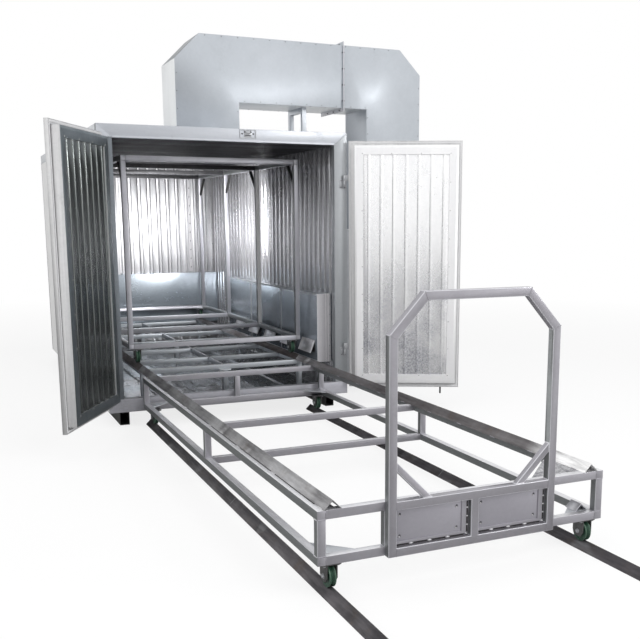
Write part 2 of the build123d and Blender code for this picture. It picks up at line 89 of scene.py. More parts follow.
class Graph:
    """Adds nodes to a node tree and joins them."""

    built: dict[str, bpy.types.NodeTree] = {}

    def __init__(self, tree: bpy.types.NodeTree) -> None:
        """Keeps the tree that the nodes go into."""
        self.tree = tree

    def node(self, kind: str, inputs: dict | None = None, out: int | str = 0,
             **options: object) -> bpy.types.NodeSocket:
        """Adds a node and returns one of its outputs.

        Args:
            kind: Blender's name of the node.
            inputs: value or socket for each input, by name or number.
            out: output to return.
            options: the node's own settings.

        Returns:
            The output socket.
        """
        made = self.tree.nodes.new(kind)
        for key, value in options.items():
            setattr(made, key, value)
        self.fill(made, inputs or {})
        return made.outputs[out]

    def fill(self, made: bpy.types.Node, inputs: dict) -> None:
        """Joins or sets inputs of a node.

        Args:
            made: the node.
            inputs: value or socket for each input, by name or number.
        """
        for key, value in inputs.items():
            if isinstance(value, bpy.types.NodeSocket):
                self.tree.links.new(value, made.inputs[key])
            else:
                made.inputs[key].default_value = value

    def group(self, make: Callable[[], bpy.types.NodeTree], inputs: dict) -> bpy.types.bpy_prop_collection:
        """Adds a shared group, which is built the first time it is asked for.

        Args:
            make: function that builds the group.
            inputs: value or socket for each input.

        Returns:
            The outputs of the group's node.
        """
        if make.__name__ not in Graph.built:
            Graph.built[make.__name__] = make()
        made = self.tree.nodes.new("ShaderNodeGroup")
        made.node_tree = Graph.built[make.__name__]
        self.fill(made, inputs)
        return made.outputs

    def math(self, operation: str, a: object, b: object = 0.0, clamp: bool = False) -> bpy.types.NodeSocket:
        """Result of a Math node on two values or sockets."""
        return self.node("ShaderNodeMath", {0: a, 1: b}, operation=operation, use_clamp=clamp)

    def times(self, a: object, b: object) -> bpy.types.NodeSocket:
        """Product of two values."""
        return self.math("MULTIPLY", a, b)

    def plus(self, a: object, b: object) -> bpy.types.NodeSocket:
        """Sum of two values."""
        return self.math("ADD", a, b)

    def spread(self, value: object, low: object, high: object, to_low: float = 0.0,
               to_high: float = 1.0) -> bpy.types.NodeSocket:
        """Value carried from the range low to high onto another, and held there."""
        return self.node("ShaderNodeMapRange", {0: value, 1: low, 2: high, 3: to_low, 4: to_high}, clamp=True)

    def blend(self, factor: object, a: object, b: object) -> bpy.types.NodeSocket:
        """Colour between a and b."""
        return self.node("ShaderNodeMix", {0: factor, 6: a, 7: b}, out=2, data_type="RGBA")

    def scaled(self, vector: object, factors: object) -> bpy.types.NodeSocket:
        """Vector multiplied axis by axis."""
        return self.node("ShaderNodeVectorMath", {0: vector, 1: factors}, operation="MULTIPLY")

    def noise(self, place: object, scale: object, detail: float, rough: float = 0.5,
              out: str = "Fac") -> bpy.types.NodeSocket:
        """Noise at a place."""
        return self.node("ShaderNodeTexNoise", {"Vector": place, "Scale": scale, "Detail": detail,
                                                "Roughness": rough}, out)

    def bump(self, height: object, distance: float) -> bpy.types.NodeSocket:
        """Normal of a surface that a height pushes out."""
        return self.node("ShaderNodeBump", {"Strength": 1.0, "Distance": distance, "Height": height})

    def mixed(self, factor: object, first: object, second: object, end: bpy.types.NodeSocket) -> None:
        """Mixes two shaders into the tree's output."""
        self.tree.links.new(self.node("ShaderNodeMixShader", {0: factor, 1: first, 2: second}), end)


def new_group(name: str, inputs: dict[str, object],
              outputs: list[str]) -> tuple[Graph, list[bpy.types.NodeSocket], bpy.types.Node]:
    """Starts a shader node group whose outputs are plain values.

    Args:
        name: the group's name.
        inputs: default of each input, a tuple for a vector and a number for a value.
        outputs: names of the outputs.

    Returns:
        The graph, the sockets that the inputs come in by, and the group's output node.
    """
    tree = bpy.data.node_groups.new(name, "ShaderNodeTree")
    for key, value in inputs.items():
        kind = "NodeSocketVector" if isinstance(value, tuple) else "NodeSocketFloat"
        tree.interface.new_socket(key, in_out="INPUT", socket_type=kind).default_value = value
    for key in outputs:
        tree.interface.new_socket(key, in_out="OUTPUT", socket_type="NodeSocketFloat")
    given = tree.nodes.new("NodeGroupInput")
    return Graph(tree), given.outputs[:len(inputs)], tree.nodes.new("NodeGroupOutput")


def spangle_group() -> bpy.types.NodeTree:
    """Zinc crystals: cells of a distorted Voronoi pattern, each with its own tone, and their grain as height.

    Returns:
        The group.
    """
    g, (place, scale), made = new_group("zinc_spangle", {"Vector": (0, 0, 0), "Scale": 60.0},
                                        ["Tone", "Height"])
    shift = g.scaled(g.noise(place, 24.0, 2.0, out="Color"), (0.02, 0.02, 0.02))
    moved = g.node("ShaderNodeVectorMath", {0: place, 1: shift}, operation="ADD")
    cells = g.node("ShaderNodeTexVoronoi", {"Vector": moved, "Scale": scale}, out="Color")
    tone = g.node("ShaderNodeSeparateColor", {0: cells})
    fine = g.noise(place, 420.0, 2.0)
    g.fill(made, {"Tone": tone, "Height": g.plus(g.times(tone, 0.7), g.times(fine, 0.3))})
    return g.tree


def streak_group() -> bpy.types.NodeTree:
    """Drawn sheet: noise stretched along the rolling direction, a broad layer under a fine one.

    Returns:
        The group.
    """
    g, (place, stretch), made = new_group("rolled_streaks", {"Vector": (0, 0, 0), "Stretch": (10, 10, 1)},
                                          ["Tone", "Fine"])
    drawn = g.scaled(place, stretch)
    fine = g.noise(drawn, 9.0, 3.0, 0.6)
    both = g.plus(g.times(g.noise(drawn, 1.0, 4.0, 0.55), 0.72), g.times(fine, 0.28))
    g.fill(made, {"Tone": g.spread(both, 0.3, 0.7), "Fine": fine})
    return g.tree


def smudge_group() -> bpy.types.NodeTree:
    """Handling marks and dust: patches of noise cut at a level and broken up by a finer noise.

    Returns:
        The group.
    """
    g, (place, scale, cover), made = new_group("handling_smudges",
                                               {"Vector": (0, 0, 0), "Scale": 3.0, "Cover": 0.4}, ["Mask"])
    level = g.math("SUBTRACT", 0.78, g.times(cover, 0.5))
    above = g.math("SUBTRACT", g.noise(place, scale, 5.0, 0.65), level)
    patch = g.math("MULTIPLY", above, 6.0, clamp=True)
    g.fill(made, {"Mask": g.times(patch, g.spread(g.noise(place, 55.0, 3.0), 0.35, 0.6))})
    return g.tree


def scale_group() -> bpy.types.NodeTree:
    """Mill scale on a rail: bands across it, grain along it, scuffs, and a brushed length at one end.

    Returns:
        The group.
    """
    g, (place, brushed, bare), made = new_group("rail_scale",
                                                {"Vector": (0, 0, 0), "Brushed": 0.0, "Bare": 1.0},
                                                ["Bands", "Grain", "End", "Scuff"])
    bands = g.noise(g.scaled(place, (0.6, 3.6, 0.6)), 1.0, 3.0, 0.6)
    grain = g.noise(g.scaled(place, (45.0, 5.0, 45.0)), 1.0, 5.0, 0.65)
    spots = g.noise(g.scaled(place, (7.0, 4.6, 7.0)), 1.0, 1.0)
    both = g.plus(g.times(bands, 0.62), g.times(grain, 0.38))
    end = g.spread(g.node("ShaderNodeSeparateXYZ", {0: place}, out=1), brushed, bare)
    g.fill(made, {"Bands": g.spread(both, 0.38, 0.64), "Grain": grain,
                  "Scuff": g.times(g.spread(spots, 0.62, 0.7), g.spread(grain, 0.4, 0.55, 0.4, 1.0)),
                  "End": g.times(end, g.spread(grain, 0.3, 0.6, 0.5, 1.0))})
    return g.tree


@dataclass(frozen=True)
class Finish(ABC):
    """A finish of two tones whose material is built once."""

    name: str
    light: Colour
    dark: Colour

    @abstractmethod
    def inputs(self, g: Graph, place: bpy.types.NodeSocket) -> dict:
        """Builds the finish's nodes.

        Args:
            g: graph of the material.
            place: Object coordinates.

        Returns:
            Value or socket for each input of the shader.
        """

    def material(self) -> bpy.types.Material:
        """The finish as a material, built the first time it is asked for.

        Returns:
            The material.
        """
        if self.name in bpy.data.materials:
            return bpy.data.materials[self.name]
        made = bpy.data.materials.new(self.name)
        made.use_nodes = True
        g = Graph(made.node_tree)
        shader = made.node_tree.nodes["Principled BSDF"]
        g.fill(shader, self.inputs(g, g.node("ShaderNodeTexCoord", out="Object")))
        return made


@dataclass(frozen=True)
class Metal(Finish):
    """A finish of one metal: tones between dark and light, crystals, rolling streaks, smudges, gloss, slow
    waves of the sheet, and a mottling that grows from the upper of two heights to the lower."""

    metallic: float = 0.6
    gloss: Span = (0.3, 0.4)
    stretch: Point = (7.0, 7.0, 0.8)
    streak: float = 0.7
    spangle: float = 0.12
    spangle_scale: float = 55.0
    smudge: Colour = (0.2, 0.2, 0.2)
    smudge_share: float = 0.35
    smudge_scale: float = 3.0
    cover: float = 0.4
    relief: float = 0.0001
    waves: float = 0.0
    mottle: Span = (0.0, 0.0)

    def inputs(self, g: Graph, place: bpy.types.NodeSocket) -> dict:
        """Streaks and crystals set the tone, the tone sets colour and gloss, and smudges dull both.

        Args:
            g: graph of the material.
            place: Object coordinates.

        Returns:
            Value or socket for each input of the shader.
        """
        streaks = g.group(streak_group, {"Vector": place, "Stretch": self.stretch})
        cells = g.group(spangle_group, {"Vector": place, "Scale": self.spangle_scale})
        marks = g.group(smudge_group, {"Vector": place, "Scale": self.smudge_scale,
                                       "Cover": self.cover})["Mask"]
        tone = g.math("ADD", g.spread(streaks["Tone"], 0, 1, 0.5 - self.streak / 2, 0.5 + self.streak / 2),
                      g.spread(cells["Tone"], 0, 1, -self.spangle / 2, self.spangle / 2), clamp=True)
        colour = g.blend(tone, (*self.dark, 1), (*self.light, 1))
        colour = g.blend(g.times(marks, self.smudge_share), colour, (*self.smudge, 1))
        if self.mottle[1]:
            colour = self.mottled(g, place, colour)
        rough = g.plus(g.spread(tone, 0, 1, self.gloss[1], self.gloss[0]), g.times(marks, 0.18))
        height = g.plus(g.times(cells["Height"], 0.35), streaks["Fine"])
        if self.waves:
            swell = g.noise(g.scaled(place, (3.0, 3.0, 2.2)), 1.0, 1.5)
            height = g.plus(height, g.times(swell, self.waves))
        return {"Base Color": colour, "Roughness": rough, "Metallic": self.metallic,
                "Normal": g.bump(height, self.relief)}

    def mottled(self, g: Graph, place: bpy.types.NodeSocket,
                colour: bpy.types.NodeSocket) -> bpy.types.NodeSocket:
        """Darkens a colour in clouds of fine grain, the more the lower it is.

        Args:
            g: graph of the material.
            place: Object coordinates.
            colour: colour before.

        Returns:
            The darkened colour.
        """
        height = g.node("ShaderNodeSeparateXYZ", {0: place}, out=2)
        low = g.times(g.spread(height, self.mottle[0], self.mottle[1], 1.0, 0.0),
                      g.spread(g.noise(place, 3.2, 2.0), 0.36, 0.58))
        low = g.times(low, g.spread(g.noise(place, 70.0, 3.0, 0.7), 0.42, 0.6, 0.35, 1.0))
        return g.blend(g.times(low, 0.75), colour, (0.3, 0.31, 0.37, 1))


@dataclass(frozen=True)
class Rail(Finish):
    """Rolled angle with bands of scale across it, wheel marks along it and a brushed end."""

    rust: Colour = (0.12, 0.09, 0.07)
    end: Colour = (0.72, 0.72, 0.74)
    brushed: Span = (-3.1, -3.4)
    end_share: float = 0.6
    metallic: float = 0.75

    def inputs(self, g: Graph, place: bpy.types.NodeSocket) -> dict:
        """Bands set the colour, then rust, scuffs and the brushed end cover it.

        Args:
            g: graph of the material.
            place: Object coordinates.

        Returns:
            Value or socket for each input of the shader.
        """
        marks = g.group(smudge_group, {"Vector": place, "Scale": 5.0, "Cover": 0.55})["Mask"]
        wear = g.group(scale_group, {"Vector": place, "Brushed": self.brushed[0], "Bare": self.brushed[1]})
        colour = g.blend(wear["Bands"], (*self.dark, 1), (*self.light, 1))
        colour = g.blend(g.times(marks, 0.5), colour, (*self.rust, 1))
        colour = g.blend(g.times(wear["Scuff"], 0.6), colour, (*self.end, 1))
        ends = g.times(wear["End"], self.end_share)
        colour = g.blend(ends, colour, (*self.end, 1))
        rough = g.math("SUBTRACT", g.spread(wear["Grain"], 0.3, 0.7, 0.6, 0.42), g.times(ends, 0.15))
        return {"Base Color": colour, "Roughness": rough, "Metallic": self.metallic,
                "Normal": g.bump(wear["Grain"], 0.0003)}


OUTER_ZINC = Metal("outer_zinc_sheet", (0.66, 0.68, 0.71), (0.5, 0.52, 0.55), gloss=(0.34, 0.46),
                   spangle=0.25, relief=0.0002)
LEFT_WALL_ZINC = Metal("left_wall_zinc_sheet", (0.93, 0.93, 0.93), (0.86, 0.86, 0.86), metallic=0.0,
                       gloss=(0.5, 0.6), spangle=0.25, relief=0.0002)
JAMB_ZINC = Metal("jamb_zinc_sheet", (0.53, 0.55, 0.57), (0.41, 0.43, 0.45), metallic=0.7, gloss=(0.3, 0.42))
SILL_ZINC = Metal("sill_zinc_sheet", (0.52, 0.52, 0.56), (0.38, 0.38, 0.42), metallic=0.5, gloss=(0.34, 0.46),
                  stretch=(1.2, 7.0, 9.0))
HEADER_ZINC = Metal("header_zinc_sheet", (0.58, 0.6, 0.64), (0.48, 0.5, 0.54), metallic=0.7,
                    gloss=(0.28, 0.46), stretch=(0.8, 7.0, 9.0))
# Near-white zinc: painted light on the front faces of the trolley's second posts.
POST_PAINTED_LIGHT_ZINC = Metal("lit_post_zinc", (1.0, 1.0, 1.0), (0.85, 0.85, 0.87), metallic=0.1, spangle=0.25)
# Near-black zinc: painted shade on the front faces of the trolley's far top tubes.
TUBE_PAINTED_SHADE_ZINC = Metal("smoked_tube", (0.08, 0.08, 0.085), (0.04, 0.04, 0.042), gloss=(0.28, 0.46), spangle=0.25,
                    relief=0.0004)
SHADED_ZINC = Metal("shaded_jamb_sheet", (0.2, 0.22, 0.24), (0.13, 0.145, 0.16), metallic=0.8,
                    gloss=(0.28, 0.46), spangle=0.25, relief=0.0004)
TRIM_ZINC = Metal("bright_trim_sheet", (0.74, 0.73, 0.75), (0.6, 0.59, 0.62), metallic=0.35,
                  gloss=(0.32, 0.44), spangle=0.15, relief=0.0002)
CHAMBER_ZINC = Metal("chamber_zinc_sheet", (0.95, 0.95, 0.97), (0.55, 0.55, 0.57), metallic=0.8,
                     gloss=(0.16, 0.28), stretch=(4.0, 4.0, 0.3), streak=0.6, spangle=0.08, smudge_share=0.2,
                     relief=0.00012)
BACK_ZINC = Metal("back_wall_zinc_sheet", (0.66, 0.66, 0.68), (0.33, 0.33, 0.34), metallic=0.8,
                  gloss=(0.3, 0.44), stretch=(4.0, 4.0, 0.3), streak=0.9, spangle=0.1, smudge_share=0.3)
# Near-black copy of the chamber zinc for the ceiling: painted shade.
CEILING_PAINTED_SHADE_ZINC = Metal("ceiling_zinc_sheet", (0.1, 0.1, 0.11), (0.02, 0.02, 0.022), metallic=0.8,
                     gloss=(0.25, 0.42), stretch=(0.6, 9.0, 9.0), streak=1.0, spangle=0.1, relief=0.0002)
FLOOR_ZINC = Metal("chamber_floor_sheet", (0.42, 0.44, 0.46), (0.08, 0.085, 0.09), metallic=0.8,
                   gloss=(0.16, 0.3), stretch=(14.0, 1.6, 9.0), streak=1.2, spangle=0.25, smudge_share=0.6,
                   cover=0.6, relief=0.0002)
LINING_ZINC = Metal("door_lining_sheet", (1.0, 1.0, 1.0), (0.9, 0.9, 0.92), metallic=0.75, gloss=(0.2, 0.32),
                    stretch=(5.0, 5.0, 1.2), streak=0.8, spangle_scale=90.0, waves=1.0, mottle=(0.55, 1.25))
# Darker copy of the door lining for the left leaf: painted shade.
PAINTED_SHADE_LINING_ZINC = Metal("dark_lining_sheet", (0.25, 0.265, 0.26), (0.1, 0.112, 0.112), metallic=0.9,
                         gloss=(0.14, 0.28), stretch=(9.0, 9.0, 0.4), streak=0.9, spangle=0.15, waves=1.2)
BORDER_ZINC = Metal("door_border_sheet", (1.0, 1.0, 1.0), (0.88, 0.88, 0.9), gloss=(0.26, 0.38),
                    smudge_share=0.15)
# Darker copy of the door border for the left leaf: painted shade.
PAINTED_SHADE_BORDER_ZINC = Metal("dark_border_sheet", (0.24, 0.27, 0.29), (0.16, 0.185, 0.2), metallic=0.85,
                         gloss=(0.3, 0.42), spangle=0.15)
EDGE_ZINC = Metal("leaf_edge_sheet", (0.88, 0.88, 0.88), (0.55, 0.55, 0.56), metallic=0.85, gloss=(0.3, 0.42),
                  stretch=(9.0, 9.0, 0.25), streak=0.9, spangle=0.1, smudge_share=0.15)
DUCT_ZINC = Metal("roof_duct_sheet", (0.54, 0.57, 0.61), (0.43, 0.46, 0.495), metallic=0.55,
                  stretch=(1.4, 1.4, 1.1), smudge_share=0.15, relief=0.00015)
# Bright copy of the duct sheet: painted light on the duct's left cheek and soffit.
PAINTED_LIGHT_CHEEK_ZINC = Metal("duct_cheek_sheet", (0.9, 0.92, 0.93), (0.78, 0.8, 0.81), metallic=0.4, smudge_share=0.15)
# Near-white zinc for the low duct's front end: painted light.
PAINTED_LIGHT_END_ZINC = Metal("duct_end_sheet", (1.0, 0.99, 1.0), (0.85, 0.84, 0.86), metallic=0.2,
                 stretch=(12.0, 3.0, 0.4), streak=1.0, smudge_share=0.15)
LOW_DUCT_ZINC = Metal("low_duct_sheet", (0.46, 0.51, 0.56), (0.26, 0.3, 0.34), gloss=(0.18, 0.3),
                      stretch=(1.4, 1.0, 5.0), spangle=0.15)
TUBE_ZINC = Metal("zinc_tube", (0.33, 0.36, 0.37), (0.2, 0.225, 0.235), metallic=0.7, gloss=(0.3, 0.46),
                  stretch=(9.0, 9.0, 9.0), streak=0.5, spangle=0.15, spangle_scale=110.0)
# Lighter copies of the tube zinc for the tops of tubes are painted light; the darker copy for their left
# faces is painted shade.
TUBE_TOP_PAINTED_LIGHT = Metal("tube_top_zinc", (0.5, 0.52, 0.53), (0.3, 0.32, 0.33), metallic=0.7, gloss=(0.28, 0.42),
                 stretch=(9.0, 3.0, 9.0), streak=0.8, spangle=0.15, smudge_share=0.3)
CART_TOP_PAINTED_LIGHT = Metal("cart_top_zinc", (0.86, 0.86, 0.88), (0.62, 0.62, 0.65), gloss=(0.28, 0.42),
                 stretch=(6.0, 3.0, 9.0), streak=0.8, smudge_share=0.3)
CART_SIDE_PAINTED_SHADE = Metal("cart_side_zinc", (0.34, 0.355, 0.36), (0.24, 0.25, 0.255), metallic=0.8, gloss=(0.3, 0.44),
                  stretch=(7.0, 3.0, 7.0), streak=0.6, smudge_share=0.2)
# Bright zinc, used whole on the stop angle and on the rounded edges of tubes as painted highlights.
BRIGHT_ZINC_AND_EDGE_HIGHLIGHT = Metal("bright_tube_edge", (0.72, 0.72, 0.75), (0.52, 0.52, 0.56), gloss=(0.25, 0.4),
                  stretch=(9.0, 9.0, 9.0), streak=0.6, spangle=0.1, smudge_share=0.2)
CART_ZINC = Metal("cart_zinc_tube", (0.5, 0.49, 0.53), (0.4, 0.39, 0.425), metallic=0.75, gloss=(0.3, 0.44),
                  stretch=(7.0, 5.0, 7.0), streak=0.6, spangle_scale=110.0, smudge_share=0.15)
# Darker copy of the cart's zinc for the portal: painted shade.
PORTAL_PAINTED_SHADE_ZINC = Metal("portal_zinc_tube", (0.43, 0.42, 0.455), (0.34, 0.33, 0.36), metallic=0.75,
                    gloss=(0.3, 0.44), stretch=(7.0, 5.0, 7.0), streak=0.6, spangle_scale=110.0,
                    smudge_share=0.15)
TROLLEY_ZINC = Metal("trolley_zinc_tube", (0.56, 0.56, 0.6), (0.42, 0.42, 0.46), metallic=0.7,
                     gloss=(0.3, 0.44), stretch=(7.0, 7.0, 7.0), streak=0.6, spangle_scale=110.0,
                     smudge_share=0.15)
PLATE_ZINC = Metal("handle_plate_zinc", (0.43, 0.42, 0.46), (0.35, 0.34, 0.38), gloss=(0.34, 0.46),
                   stretch=(4.0, 4.0, 4.0), streak=0.5, spangle=0.15, spangle_scale=120.0)
SPECKLED_ZINC = Metal("speckled_zinc_plate", (0.6, 0.6, 0.62), (0.2, 0.2, 0.22), metallic=1.0,
                      gloss=(0.3, 0.55), stretch=(30.0, 30.0, 30.0), streak=1.2, spangle=0.7,
                      spangle_scale=160.0, relief=0.0004)
# Black steel, also used for black slabs that paint shade in openings and under the rails' feet.
BLACK_STEEL_AND_SHADE = Metal("black_steel", (0.045, 0.045, 0.048), (0.02, 0.02, 0.022), metallic=0.0, gloss=(0.4, 0.6),
                    spangle=0.1, smudge=(0.18, 0.17, 0.16), smudge_share=0.4, relief=0.0003)
GREEN_ENAMEL = Metal("green_wheel_enamel", (0.04, 0.1, 0.065), (0.015, 0.045, 0.028), metallic=0.0,
                     gloss=(0.28, 0.5), stretch=(20.0, 20.0, 20.0), spangle=0.1, smudge=(0.14, 0.15, 0.13),
                     smudge_share=0.5, smudge_scale=22.0, relief=0.0002)
WORN_RIM = Metal("worn_wheel_rim", (0.13, 0.2, 0.15), (0.03, 0.07, 0.045), metallic=0.3, gloss=(0.3, 0.5),
                 stretch=(30.0, 30.0, 30.0), spangle=0.25, relief=0.0002)
CASTER_STEEL = Metal("caster_plated_steel", (0.2, 0.2, 0.2), (0.07, 0.07, 0.07), metallic=0.7,
                     gloss=(0.3, 0.5), stretch=(16.0, 16.0, 16.0), spangle=0.2, spangle_scale=90.0,
                     relief=0.0003)
HINGE_STEEL = Metal("hinge_plated_steel", (0.55, 0.56, 0.58), (0.34, 0.35, 0.37), gloss=(0.25, 0.42),
                    stretch=(20.0, 20.0, 20.0), spangle=0.25, relief=0.0002)
SCREW_STEEL = Metal("screw_steel", (0.16, 0.16, 0.17), (0.06, 0.06, 0.065), stretch=(20.0, 20.0, 20.0),
                    spangle=0.25)
# Bright screw heads, also used for small heads beside the plate screws as painted glints.
BRIGHT_SCREW_AND_GLINT = Metal("bright_screw_steel", (0.9, 0.9, 0.9), (0.6, 0.6, 0.6), metallic=0.5, gloss=(0.2, 0.3),
                     stretch=(20.0, 20.0, 20.0), spangle=0.25)
SEAL_RUBBER = Metal("door_seal_grey", (0.66, 0.66, 0.67), (0.56, 0.56, 0.57), metallic=0.0, gloss=(0.6, 0.8),
                    spangle=0.1, smudge_share=0.2)
WELD_STEEL = Metal("bright_weld", (0.85, 0.85, 0.86), (0.4, 0.4, 0.42), metallic=0.4, gloss=(0.25, 0.5),
                   stretch=(60.0, 60.0, 60.0), spangle=0.3, relief=0.0004)
GREY_WELD = Metal("grey_weld", (0.4, 0.4, 0.41), (0.12, 0.12, 0.13), gloss=(0.3, 0.5),
                  stretch=(60.0, 60.0, 60.0), spangle=0.3, relief=0.0004)
# Burnt weld marks, also used for dark slabs that paint the shadow in the handle plates' slots.
BURNT_WELD_AND_SLOT_SHADOW = Metal("burnt_weld", (0.06, 0.055, 0.055), (0.015, 0.014, 0.014), metallic=0.3, gloss=(0.5, 0.7),
                    stretch=(60.0, 60.0, 60.0), spangle=0.25, relief=0.0005)
CART_RAIL = Rail("cart_rail_steel", (0.5, 0.5, 0.51), (0.15, 0.145, 0.15), rust=(0.2, 0.17, 0.15),
                 end_share=0.2, metallic=0.7)
RIGHT_RAIL = Rail("right_rail_steel", (0.2, 0.19, 0.195), (0.085, 0.078, 0.08), end=(1.0, 1.0, 1.0),
                  end_share=1.0, metallic=0.45)
TRACK_RAIL = Rail("track_rail_steel", (0.16, 0.14, 0.14), (0.06, 0.052, 0.05), end=(0.3, 0.3, 0.31),
                  brushed=(-9.0, -9.5))
FLOOR_RAIL = Rail("floor_rail_steel", (0.16, 0.15, 0.16), (0.06, 0.057, 0.062), end=(0.26, 0.26, 0.27),
                  brushed=(-20.0, -21.0))


# ---- meshes


@dataclass
class Shape:
    """Points and faces of one surface or of several."""

    points: np.ndarray
    faces: list


def gathered(shapes: list[Shape]) -> Shape:
    """All the shapes as one: points are stacked, and each shape's faces count on from the points before it.

    Args:
        shapes: closed surfaces.

    Returns:
        All of them.
    """
    starts = np.cumsum([0] + [len(s.points) for s in shapes[:-1]])
    faces = [[i + int(start) for i in f] for s, start in zip(shapes, starts) for f in s.faces]
    return Shape(np.vstack([s.points for s in shapes]), faces)


def skin(rows: np.ndarray, ring: bool = False) -> Shape:
    """Closed surface through rows of points: point (i, j) is joined to (i + 1, j) and (i, j + 1), each row
    closes on itself, and the first and last rows are filled, or joined to each other.

    Args:
        rows: array of rows by points by 3.
        ring: joins the last row to the first instead of filling both.

    Returns:
        The surface.
    """
    m, n = rows.shape[:2]
    i = np.arange(m if ring else m - 1)[:, None]
    j = np.arange(n)[None, :]
    after, beside = (i + 1) % m, (j + 1) % n
    quads = np.stack([i * n + j, i * n + beside, after * n + beside, after * n + j], -1).reshape(-1, 4)
    faces = quads.tolist()
    if not ring:
        faces += [list(range(n))[::-1], list(range((m - 1) * n, m * n))]
    return Shape(rows.reshape(-1, 3), faces)


def along(axis: Axis, profile: np.ndarray, places: list[float]) -> Shape:
    """Profile of two coordinates carried along an axis: point = (place on the axis, profile point across it).

    Args:
        axis: axis that it runs along.
        profile: points by 2, in the order of the two other axes.
        places: coordinate of each row on the axis.

    Returns:
        The closed prism.
    """
    profile = np.asarray(profile, float)
    rows = np.empty((len(places), len(profile), 3))
    rows[:, :, axis.value] = np.asarray(places, float)[:, None]
    rows[:, :, axis.others] = profile[None]
    return skin(rows)


def slab(low: Point, high: Point) -> Shape:
    """Board between two corners."""
    (x0, y0, z0), (x1, y1, z1) = low, high
    return along(Axis.Z, [(x0, y0), (x1, y0), (x1, y1), (x0, y1)], [z0, z1])


def hoop(x: Span, y: Span, z: Span, width: float, lap: float = 0.0) -> Shape:
    """Upright frame of four boards inside a box.

    Args:
        x: left and right of the frame.
        y: its front and back.
        z: its foot and top.
        width: of a board.
        lap: how far the level boards reach into the upright ones.

    Returns:
        The four boards.
    """
    (x0, x1), (y0, y1), (z0, z1) = x, y, z
    a, b = x0 + width, x1 - width
    return gathered([slab((x0, y0, z0), (a, y1, z1)), slab((b, y0, z0), (x1, y1, z1)),
                     slab((a - lap, y0, z0), (b + lap, y1, z0 + width)),
                     slab((a - lap, y0, z1 - width), (b + lap, y1, z1))])


def lathe(axis: Axis, profile: np.ndarray, centre: Point, steps: int = 24, ring: bool = False) -> Shape:
    """Profile turned about an axis: point = centre + along * axis + radius * (cos a, sin a) across the axis.

    Args:
        axis: axis that it is turned about.
        profile: points by 2, each a place along the axis and a radius.
        centre: point on the axis.
        steps: points round the axis.
        ring: closes the profile on itself, for a shape with a bore.

    Returns:
        The closed surface.
    """
    profile = np.asarray(profile, float)
    angle = np.linspace(0, 2 * math.pi, steps, endpoint=False)
    rows = np.empty((len(profile), steps, 3))
    rows[:, :, axis.value] = profile[:, :1]
    rows[:, :, axis.others] = profile[:, 1:, None] * np.stack([np.cos(angle), np.sin(angle)], -1)
    return skin(rows + np.array(centre), ring)


def circle(way: np.ndarray, sides: int) -> np.ndarray:
    """Unit circle across a direction: point = side * cos a + other * sin a at even angles a.

    Args:
        way: unit vector along the circle's axis.
        sides: number of points.

    Returns:
        Points by 3.
    """
    side = np.cross(way, (0, 0, 1) if abs(way[2]) < 0.9 else (1, 0, 0))
    side /= np.linalg.norm(side)
    angle = np.linspace(0, 2 * math.pi, sides, endpoint=False)[:, None]
    return np.cos(angle) * side + np.sin(angle) * np.cross(way, side)


def spots(x: object, y: object, z: object) -> np.ndarray:
    """Points from three coordinates, each a number or an array."""
    return np.stack(np.broadcast_arrays(x, y, z), -1).astype(float)


def heads(centres: np.ndarray, normal: Point, radius: float, height: float, sides: int = 6) -> Shape:
    """Low domes on a surface, for screws and rivets: rings of radius 1, 0.8 and 0.3, the first just below the
    surface and the others at heights 0.7 and 1, copied to every centre at once.

    Args:
        centres: points by 3 on the surface.
        normal: direction they stand in.
        radius: of a head.
        height: of a head above the surface.
        sides: points of a ring.

    Returns:
        All the heads.
    """
    centres = np.asarray(centres, float).reshape(-1, 3)
    up = np.array(normal, float) / np.linalg.norm(normal)
    size = radius * np.array([1.0, 0.8, 0.3])[:, None, None]
    rise = height * np.array([-0.05, 0.7, 1.0])[:, None, None]
    one = skin(size * circle(up, sides) + rise * up)
    n = len(one.points)
    points = (centres[:, None, :] + one.points[None]).reshape(-1, 3)
    return Shape(points, [[i + k * n for i in f] for k in range(len(centres)) for f in one.faces])


def bead(start: Point, end: Point, radius: float) -> Shape:
    """Weld bead: hexagons along a line, whose radius swells as 1 + 0.2 cos(place / ripple) and tapers at
    both ends.

    Args:
        start: first point of the line.
        end: last point.
        radius: of the bead.

    Returns:
        The closed surface.
    """
    a, b = np.array(start, float), np.array(end, float)
    length = float(np.linalg.norm(b - a))
    way = (b - a) / length
    s = np.linspace(0, length, max(5, int(length / (radius * 0.9))))
    size = radius * (1 + 0.2 * np.cos(s * 2 * math.pi / (radius * 2.3)))
    for inside in (s, length - s):
        size *= np.minimum(1, 0.35 + inside / radius / 2)
    return skin(a + s[:, None, None] * way + size[:, None, None] * circle(way, 6))


def hexagon(axis: Axis, centre: Point, across: float, start: float, end: float) -> Shape:
    """Nut or bolt head with chamfered corners: hexagons of radius 0.92, 1, 1 and 0.92 along the axis.

    Args:
        axis: axis of the nut.
        centre: point on the axis.
        across: distance between two flats.
        start: place of its foot on the axis.
        end: place of its top.

    Returns:
        The closed surface.
    """
    angle = np.arange(6) * math.pi / 3
    ring = np.stack([np.cos(angle), np.sin(angle)], -1) * across / math.sqrt(3)
    ease = (end - start) * 0.18
    rows = np.empty((4, 6, 3))
    rows[:, :, axis.value] = np.array([start, start + ease, end - ease, end])[:, None]
    rows[:, :, axis.others] = ring[None] * np.array([0.92, 1, 1, 0.92])[:, None, None]
    base = np.array(centre, float)
    base[axis.value] = 0
    return skin(rows + base)


def box_lines(x: Span, y: Span, z: float) -> list[Line]:
    """The four sides of a level rectangle, as pairs of points."""
    a, b, c, d = (x[0], y[0], z), (x[1], y[0], z), (x[1], y[1], z), (x[0], y[1], z)
    return [(a, b), (b, c), (c, d), (d, a)]


